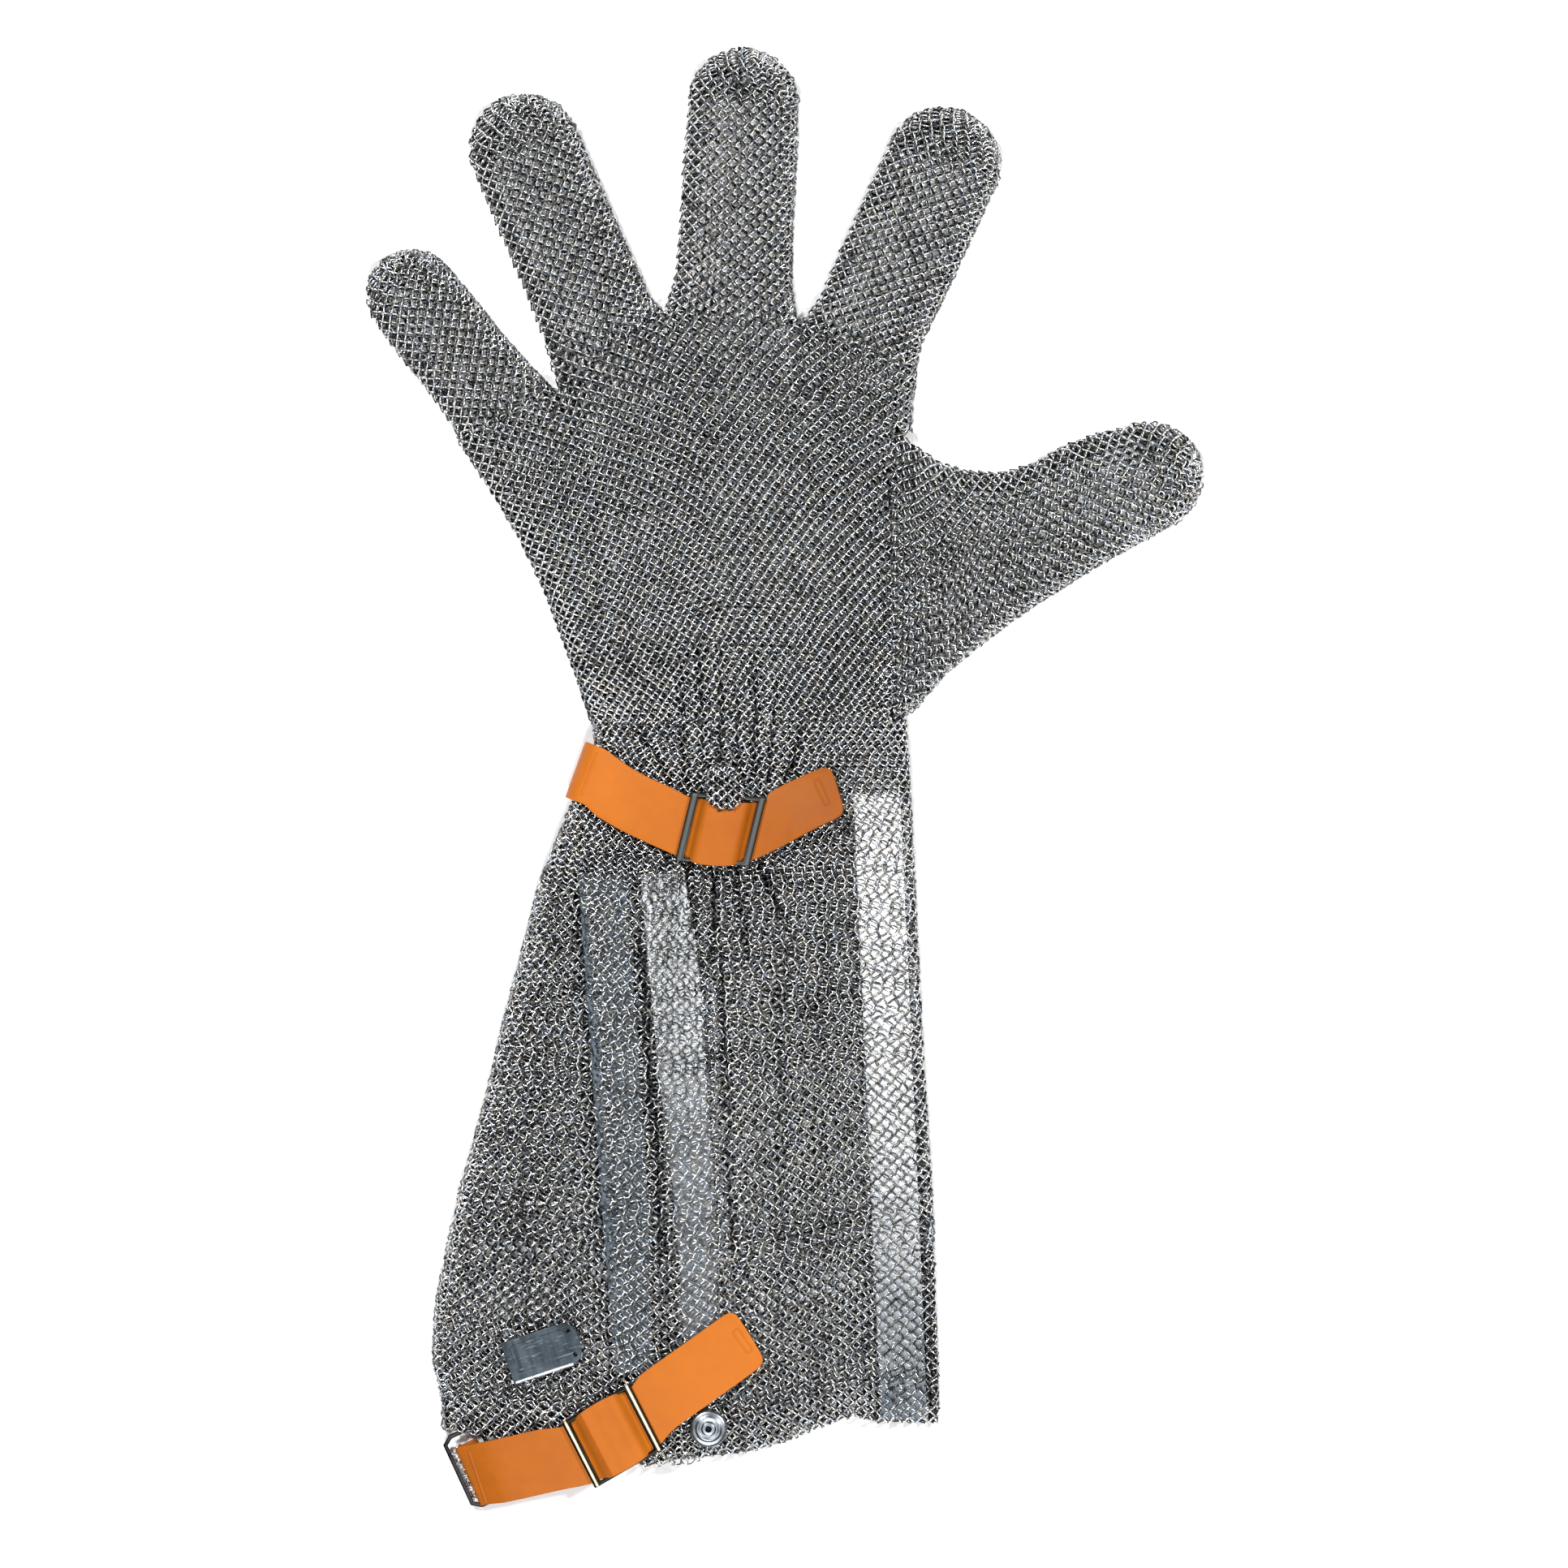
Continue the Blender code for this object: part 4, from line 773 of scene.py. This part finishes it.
def bead(name, points, radius, closed=False, fine=1):  # a thin rounded line through points
    curve = bpy.data.curves.new(name, "CURVE")
    curve.dimensions, curve.use_fill_caps = "3D", True
    curve.bevel_depth, curve.bevel_resolution = radius, fine
    spline = curve.splines.new("POLY")
    spline.points.add(len(points) - 1)
    for point, place in zip(spline.points, points):
        point.co = (*place, 1.0)
    spline.use_cyclic_u = closed
    onlySelect(linked(name, curve))
    bpy.ops.object.convert(target="MESH")
    return bpy.context.object


def joinAll(main, *others):
    onlySelect(main)
    for other in others:
        other.select_set(True)
    bpy.ops.object.join()


def finishPiece(piece, material, slot, *replaced, angle=50.0):
    onlySelect(piece)
    bpy.ops.object.shade_smooth_by_angle(angle=math.radians(angle))
    if material:
        piece.data.materials.clear()
        piece.data.materials.append(material)
    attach(piece, "root")
    if replaced:
        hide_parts(*replaced)
    print("made", piece.name, len(piece.data.polygons), "faces")


def turned(x, y, heading, points):  # points of a flat outline set at a place and a heading
    c, s = math.cos(math.radians(heading)), math.sin(math.radians(heading))
    return [(x + u * c - v * s, y + u * s + v * c) for u, v in points]


def slotOutline(length, width, corner, count=5):  # a rectangle with round corners, lengthwise across
    points = []
    for quarter, (sx, sy) in enumerate(((1, 1), (-1, 1), (-1, -1), (1, -1))):
        for k in range(count):
            angle = math.pi / 2 * (quarter + k / (count - 1))
            points.append((sx * (width / 2 - corner) + corner * math.cos(angle),
                sy * (length / 2 - corner) + corner * math.sin(angle)))
    return points


def filledLine(start, end, count):
    return [(start[0] + (end[0] - start[0]) * k / (count - 1),
        start[1] + (end[1] - start[1]) * k / (count - 1)) for k in range(count)]


# straps
strap = {"edge": 0.5 * mm, "beadSize": 0.38 * mm, "wristTail": (11.6, -3.8, 25.0),
    "wristTailSlot": (8.8, 1.9, 0.9), "wristRib": ((-60.2, 8.8), (-65.2, -4.9)),
    "forearmTail": (-13.7, -178.7, 35.3), "forearmTailSlot": (8.4, 2.2, 0.9),
    "forearmRib": ((-101.4, -214.9), (-95.8, -231.6)), "wristRise": (-20.7, -15.6, -4.0, -0.7, 2.3, 0.17),
    "forearmRise": (-55.4, -209.3, 30.5, 1.6, 1.3, 0.06), "leanFrom": 26.0, "leanOver": 16.0,
    "riseHalf": 8.5, "riseLift": 2.0, "riseAt": 6.0, "riseWide": 1.3, "riseRound": 0.35, "halfWidth": 9.5,
    "lowest": 9.0}


def strapFinish(name, bright, shadedEnd):  # painted light and shade: the tone drifts from lighter at one end of the strap to darker at the other
    finish = Finish(name, Roughness=0.5, Specular_IOR_Level=0.15)
    cloud, patch, grain = finish.noise(45.0, 4.0), finish.noise(220.0, 5.0), finish.noise(2600.0, 3.0)
    pore = finish.node("ShaderNodeTexVoronoi", {"feature": "F1"}, {"Vector": finish.place(), "Scale": 1500.0})
    along = ((finish.along(0) - bright * mm) * (1 / ((shadedEnd - bright) * mm))).clipped(0, 1)
    tone = ((cloud * 0.6 + patch * 0.4) * 0.5 + (1 - along) * 0.55 - 0.02).clipped(0, 1)
    colour = finish.mix(tone, (0.165, 0.0385, 0.002), (0.475, 0.129, 0.008))
    height = grain * 0.5 + pore * 0.5
    return finish.wear(Base_Color=colour, Roughness=0.44 + patch * 0.18,
        Normal=finish.bump(height, 0.03 * mm, 0.5, over=finish.bump(patch, 0.3 * mm, 0.45)))


strapLeathers = {"wrist_strap": strapFinish("wristStrapLeather", -66.0, 18.0),
    "forearm_strap": strapFinish("forearmStrapLeather", -20.0, -145.0)}


def riseOverRails(mesh, x, y, heading, upper, lower, shear):
    # between the bars the strap stands over both rails
    c, s = math.cos(math.radians(heading)), math.sin(math.radians(heading))
    for vertex in mesh.vertices:
        u = ((vertex.co.x / mm - x) * c + (vertex.co.y / mm - y) * s)
        v = (-(vertex.co.x / mm - x) * s + (vertex.co.y / mm - y) * c)
        if vertex.co.z < strap["lowest"] * mm:
            continue
        lean = shear * v * min(max((u + strap["leanFrom"]) / strap["leanOver"], 0.0), 1.0)
        vertex.co.x += lean * c * mm
        vertex.co.y += lean * s * mm
        if abs(u) > strap["riseHalf"]:
            continue
        wider = (upper if v > 0 else -lower) * min(abs(v) / strap["halfWidth"], 1.0)
        wider *= (1 - (u / strap["riseHalf"]) ** 2) ** strap["riseRound"]
        vertex.co.x -= wider * s * mm
        vertex.co.y += wider * c * mm
        fromRail = (abs(u) - strap["riseAt"]) / strap["riseWide"]
        vertex.co.z += strap["riseLift"] * math.exp(-fromRail ** 2) * mm


def makeStrap(which):
    node, name = which + "_strap", which + "_strap_leather"
    tail, slot, rib = strap[which + "Tail"], strap[which + "TailSlot"], strap[which + "Rib"]
    piece = copyOf(node, name)
    onlySelect(piece)
    editWhole()
    bpy.ops.mesh.subdivide(number_cuts=1)
    endEdit()
    riseOverRails(piece.data, *strap[which + "Rise"])
    soften(piece, strap["edge"], 2, angle=50.0, level=1)
    length, width, corner = slot
    outline = turned(*tail, slotOutline(length, width, corner))
    marks = [bead(name + "Slot", laidOn(piece, outline, -0.12 * mm), strap["beadSize"], True),
        bead(name + "Rib", laidOn(piece, filledLine(*rib, 9), -0.1 * mm), strap["beadSize"] * 1.3)]
    joinAll(piece, *marks)
    finishPiece(piece, strapLeathers[node], "strap_orange", node)


makeStrap("wrist")
makeStrap("forearm")


# slides
slide = {"bar": 2.5 * mm, "rail": 1.4 * mm, "edge": 0.55 * mm, "wrist": (-4.0, 0.17),
    "forearm": (30.5, 0.06), "paintedStripe": {"wrist_buckle": 0.75 * mm, "forearm_buckle": 0.5 * mm}}


def frameOf(node, heading):  # a flat node's middle, its three directions and its half sizes
    points = np.array([vertex.co[:] for vertex in nodes[node].data.vertices])
    middle = (points.min(axis=0) + points.max(axis=0)) / 2
    normal = np.linalg.svd(points - points.mean(axis=0))[2][2]
    normal *= np.sign(normal[2])
    ahead = np.array((math.cos(math.radians(heading)), math.sin(math.radians(heading)), 0.0))
    ahead = ahead - normal * ahead.dot(normal)
    ahead /= np.linalg.norm(ahead)
    axes = np.stack((ahead, np.cross(normal, ahead), normal))
    local = (points - middle) @ axes.T
    middle = middle + (local.min(axis=0) + local.max(axis=0)) / 2 @ axes
    return middle, axes, (local.max(axis=0) - local.min(axis=0)) / 2


def setInFrame(piece, middle, axes):  # from its own flat place to its real one
    piece.data.transform(Matrix([[*axes[:, row], middle[row]] for row in range(3)] + [[0, 0, 0, 1]]))
    piece.data.update()


def makeSlide(node, name, heading, shear, material):
    middle, axes, half = frameOf(node, heading)
    bpy.ops.object.select_all(action="DESELECT")
    bpy.ops.mesh.primitive_plane_add(size=2.0)
    piece = bpy.context.object
    piece.name = name
    piece.scale = (half[0], half[1], 1.0)
    bpy.ops.object.transform_apply(scale=True)
    bpy.ops.object.mode_set(mode="EDIT")
    cuts = [(-half[0] + slide["bar"], 0), (-slide["bar"] / 2, 0), (slide["bar"] / 2, 0),
        (half[0] - slide["bar"], 0), (-half[1] + slide["rail"], 1), (half[1] - slide["rail"], 1)]
    for place, axis in cuts:
        bpy.ops.mesh.select_all(action="SELECT")
        bpy.ops.mesh.bisect(plane_co=(place if axis == 0 else 0, place if axis else 0, 0),
            plane_no=(1, 0, 0) if axis == 0 else (0, 1, 0))
    endEdit()
    chooseFaces(piece.data, lambda centre, normal: abs(centre.y) < half[1] - slide["rail"]
        and slide["bar"] / 2 < abs(centre.x) < half[0] - slide["bar"])
    bpy.ops.object.mode_set(mode="EDIT")
    bpy.ops.mesh.delete(type="FACE")
    bpy.ops.mesh.select_all(action="SELECT")
    bpy.ops.mesh.extrude_region_move(TRANSFORM_OT_translate={"value": (0, 0, 2 * half[2])})
    bpy.ops.mesh.select_all(action="SELECT")
    bpy.ops.transform.translate(value=(0, 0, -half[2]))
    bpy.ops.mesh.normals_make_consistent(inside=False)
    endEdit()
    soften(piece, slide["edge"], 4)
    for vertex in piece.data.vertices:
        vertex.co.x += shear * vertex.co.y
    setInFrame(piece, middle, axes)
    finishPiece(piece, material, "buckle_steel", node)


def barFinish(name, dark, light, rough, paintedStripe=None):
    # the last argument: the node, heading and shear of a slide whose bars get a painted highlight along the
    # middle
    finish = Finish(name, Metallic=1.0, Roughness=rough)
    spot = finish.noise(260.0, 3.0)
    if paintedStripe:
        node, heading, shear = paintedStripe
        middle, axes, half = frameOf(node, heading)
        way = [axes[0][a] - shear * axes[1][a] for a in (0, 1)]
        ahead = (finish.along(0) - middle[0]) * way[0] + (finish.along(1) - middle[1]) * way[1]
        fromBar = (ahead.by("ABSOLUTE") - (half[0] - slide["bar"] / 2)).by("ABSOLUTE")
        tone = finish.ramp(fromBar * (1 / (4 * slide["paintedStripe"][node])) + (spot - 0.5) * 0.1,
            (0.1, 1.0), (0.24, 0.0))
        streak = finish.noise(700.0, 4.0)
    else:
        streak = finish.noise(900.0, 4.0)
        tone = finish.ramp((streak * 0.55 + spot * 0.45).clipped(0, 1), (0.35, 0.0), (0.7, 1.0))
    return finish.wear(Base_Color=finish.mix(tone, dark, light), Roughness=rough + spot * 0.16 + tone * 0.15,
        Normal=finish.bump(streak, 0.02 * mm, 0.4))


# the second colour of each is the painted highlight along the middle of the bars
buckleSteel = ("buckleSteel", (0.042, 0.042, 0.041), (0.078, 0.081, 0.078), 0.3)
polishedSteel = ("polishedSteel", (0.012, 0.011, 0.009), (0.62, 0.53, 0.36), 0.26)
for which, steel in (("wrist", buckleSteel), ("forearm", polishedSteel)):
    makeSlide(which + "_buckle", which + "_slide", *slide[which],
        barFinish(*steel, (which + "_buckle", *slide[which])))


# loop
loop = {"left": ((-109.2, -213.4), (-100.6, -232.0)), "deep": 12.4, "cut": 2.6, "wire": 0.78 * mm,
    "z": 4.2 * mm}


def makeLoop():
    (x0, y0), (x1, y1) = loop["left"]
    low, high = np.array((x1, y1)), np.array((x0, y0))
    up = (high - low) / np.linalg.norm(high - low)
    ahead = np.array((up[1], -up[0]))
    cut, deep = loop["cut"], loop["deep"]
    corners = [low, high, high + up * cut * 0.7 + ahead * cut, high + up * cut * 0.7 + ahead * (deep - cut),
        high + ahead * deep, low + ahead * deep, low - up * cut * 0.7 + ahead * (deep - cut),
        low - up * cut * 0.7 + ahead * cut]
    piece = bead("end_loop_wire", [(x * mm, y * mm, loop["z"]) for x, y in corners], loop["wire"], True, 4)
    finishPiece(piece, barFinish("loopBlack", (0.012, 0.012, 0.013), (0.05, 0.05, 0.052), 0.3), "loop_black",
        "end_loop", angle=60.0)


makeLoop()


# stud
stud = {"place": (-24.6, -207.1), "turns": 64, "groove": 0.28 * mm,
    "cap": ((0.0, 1.0), (0.75, 1.0), (0.9, 1.15), (0.92, 2.1), (1.1, 2.3), (1.6, 2.32), (1.95, 2.2),
        (2.15, 1.85), (2.35, 1.5), (2.7, 1.42), (3.1, 1.55), (3.5, 1.66), (3.85, 1.6), (4.15, 1.34),
        (4.45, 1.24), (4.9, 1.22), (5.35, 1.08), (5.75, 0.82), (5.98, 0.5), (6.0, 0.22), (5.9, 0.0),
        (1.7, 0.0)),
    "capHeight": 2.3, "stem": 1.7, "foot": 3.4, "footThick": 0.8}


def studFinish():
    finish = Finish("studSteel", Metallic=1.0, Roughness=0.3)
    x, y = finish.along(0), finish.along(1)
    away = ((x - stud["place"][0] * mm) ** 2.0 + (y - stud["place"][1] * mm) ** 2.0) ** 0.5
    rings = (away * (2 * math.pi / stud["groove"])).by("SINE")
    spot = finish.noise(500.0, 4.0)
    eye = finish.ramp(away * (1 / (7 * mm)), (0.0, 0.0), (0.115, 0.02), (0.15, 1.0), (1.0, 1.0))
    tone = (spot * 0.8 + rings * 0.06 + 0.1).clipped(0, 1)
    steel = finish.mix(tone, (0.09, 0.103, 0.117), (0.33, 0.362, 0.394))
    return finish.wear(Base_Color=finish.mix(eye, (0.01, 0.01, 0.011), steel), Roughness=0.24 + spot * 0.2,
        Normal=finish.bump(rings * 0.5 + spot, 0.02 * mm, 0.35))


def makeStud():
    low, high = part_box("press_stud")
    foot = high[2] - stud["capHeight"] * mm
    profile = [(r * mm, foot + (h if h < 2.31 else 2.3) * mm) for r, h in stud["cap"]]
    profile += [(stud[part] * mm, low[2] + stud["footThick"] * mm) for part in ("stem", "foot")]
    profile += [(stud["foot"] * mm, low[2]), (0.0, low[2])]
    bpy.ops.object.select_all(action="DESELECT")
    bpy.ops.mesh.primitive_plane_add(size=1 * mm)
    piece = bpy.context.object
    piece.name = "press_stud_turned"
    editWhole()
    bpy.ops.mesh.merge(type="CENTER")
    bpy.ops.transform.translate(value=(profile[0][0], 0, profile[0][1]))
    for (r0, z0), (r1, z1) in zip(profile, profile[1:]):
        bpy.ops.mesh.extrude_region_move(TRANSFORM_OT_translate={"value": (r1 - r0, 0, z1 - z0)})
    bpy.ops.mesh.select_all(action="SELECT")
    bpy.ops.mesh.spin(steps=stud["turns"], angle=2 * math.pi, center=(0, 0, 0), axis=(0, 0, 1))
    bpy.ops.mesh.select_all(action="SELECT")
    bpy.ops.mesh.remove_doubles(threshold=0.01 * mm)
    bpy.ops.mesh.normals_make_consistent(inside=False)
    bpy.ops.transform.translate(value=(stud["place"][0] * mm, stud["place"][1] * mm, 0))
    endEdit()
    finishPiece(piece, studFinish(), "stud_steel", "press_stud", angle=40.0)


makeStud()


# plate
plate = {"turn": 18.5, "edge": 0.22 * mm, "lip": 0.62 * mm, "border": 0.14 * mm}


def plateFinish():
    finish = Finish("plateSteel", Metallic=1.0, Roughness=0.34)
    turn = (0, 0, math.radians(-plate["turn"]))
    streak = finish.noise(420.0, 5.0, finish.stretched((1.0, 0.16, 1.0), turn))
    rub = finish.noise(190.0, 4.0)
    scratch = finish.noise(1500.0, 2.0, finish.stretched((0.12, 1.0, 1.0), turn))
    tone = finish.ramp((streak * 0.55 + rub * 0.45).clipped(0, 1), (0.38, 0.0), (0.52, 0.35), (0.72, 1.0))
    line = finish.ramp(scratch, (0.6, 0.0), (0.68, 1.0))
    colour = finish.mix(tone, (0.023, 0.03, 0.036), (0.084, 0.104, 0.121))
    return finish.wear(Base_Color=finish.mix(line * 0.35, colour, (0.25, 0.29, 0.33)),
        Roughness=0.4 + rub * 0.2, Normal=finish.bump(streak + scratch * 0.4, 0.03 * mm, 0.5))


def makePlate():
    middle, axes, half = frameOf("marking_plate", plate["turn"])
    piece = copyOf("marking_plate", "marking_plate_steel")
    flatten(piece)
    soften(piece, plate["edge"], 2, angle=50.0)

    def at(u, v, w):
        return tuple(middle + u * axes[0] + v * axes[1] + w * axes[2])

    lift = half[2] * 1.1
    lipLine = [at(-half[0] * 0.94 + k * half[0] * 0.2, -half[1] + 0.35 * mm, lift) for k in range(9)]
    lip = bead("lip", lipLine, plate["lip"])
    frameLine = []
    for u, v in slotOutline(2 * half[1] - 4.6 * mm, 2 * half[0] - 6.0 * mm, 1.6 * mm):
        frameLine.append(at(u - 0.8 * mm, v + 0.5 * mm, half[2] - 0.02 * mm))
    border = bead("border", frameLine, plate["border"], True)
    dark = plateFinish()
    bright = barFinish("plateLipSteel", (0.45, 0.47, 0.52), (0.95, 0.97, 1.0), 0.3)
    for part, finish in ((piece, dark), (lip, bright), (border, dark)):
        part.data.materials.clear()
        part.data.materials.append(finish)
    joinAll(piece, lip, border)
    finishPiece(piece, None, "plate_steel", "marking_plate", angle=35.0)
    piece.modifiers.new("evenNormals", "WEIGHTED_NORMAL").keep_sharp = True
    applyAll(piece)


makePlate()


# stays
stays = {"thumb_side_stay": {"from": -0.008, "to": -0.200, "top": (0.9, 0.9, 0.9),
        "foot": (0.06, 0.08, 0.10), "stops": ((0.0, 0.0), (0.3, 0.2), (0.65, 0.6), (1.0, 1.0)), "paintedGlow": 1.0},
    "slit_stay": {"from": -0.03, "to": -0.19, "top": (0.67, 0.7, 0.72), "foot": (0.1, 0.118, 0.138),
        "stops": ((0.0, 0.35), (0.12, 0.0), (0.32, 0.1), (0.5, 0.8), (1.0, 1.0)), "paintedGlow": 0.35},
    "outer_stay": {"from": -0.03, "to": -0.19, "top": (0.10, 0.13, 0.16), "foot": (0.07, 0.09, 0.11),
        "stops": ((0.0, 0.0), (0.5, 0.4), (1.0, 1.0)), "paintedGlow": 0.05}}


def stayFinish(name, look):
    finish = Finish(name + "Plastic", Roughness=0.3, Coat_Weight=0.2)
    down = ((finish.along(1) - look["from"]) * (1 / (look["to"] - look["from"]))).clipped(0, 1)
    cloud = finish.noise(60.0, 4.0)
    grime = finish.noise(240.0, 5.0)
    fade = (finish.ramp(down, *look["stops"]) + (cloud - 0.5) * 0.3).clipped(0, 1)
    colour = finish.mix(fade, look["top"], look["foot"])
    dirty = finish.mix(finish.ramp(grime, (0.55, 0.0), (0.8, 1.0)) * 0.25, colour, (0.16, 0.17, 0.18))
    # painted light: the stays give off light in their own colour
    return finish.wear(Base_Color=dirty, Roughness=0.24 + grime * 0.2, Emission_Color=dirty,
        Emission_Strength=look["paintedGlow"], Normal=finish.bump(grime, 0.05 * mm, 0.3))


for name, look in stays.items():
    nodes[name].data.materials.clear()
    nodes[name].data.materials.append(stayFinish(name, look))
    print("finished", name)
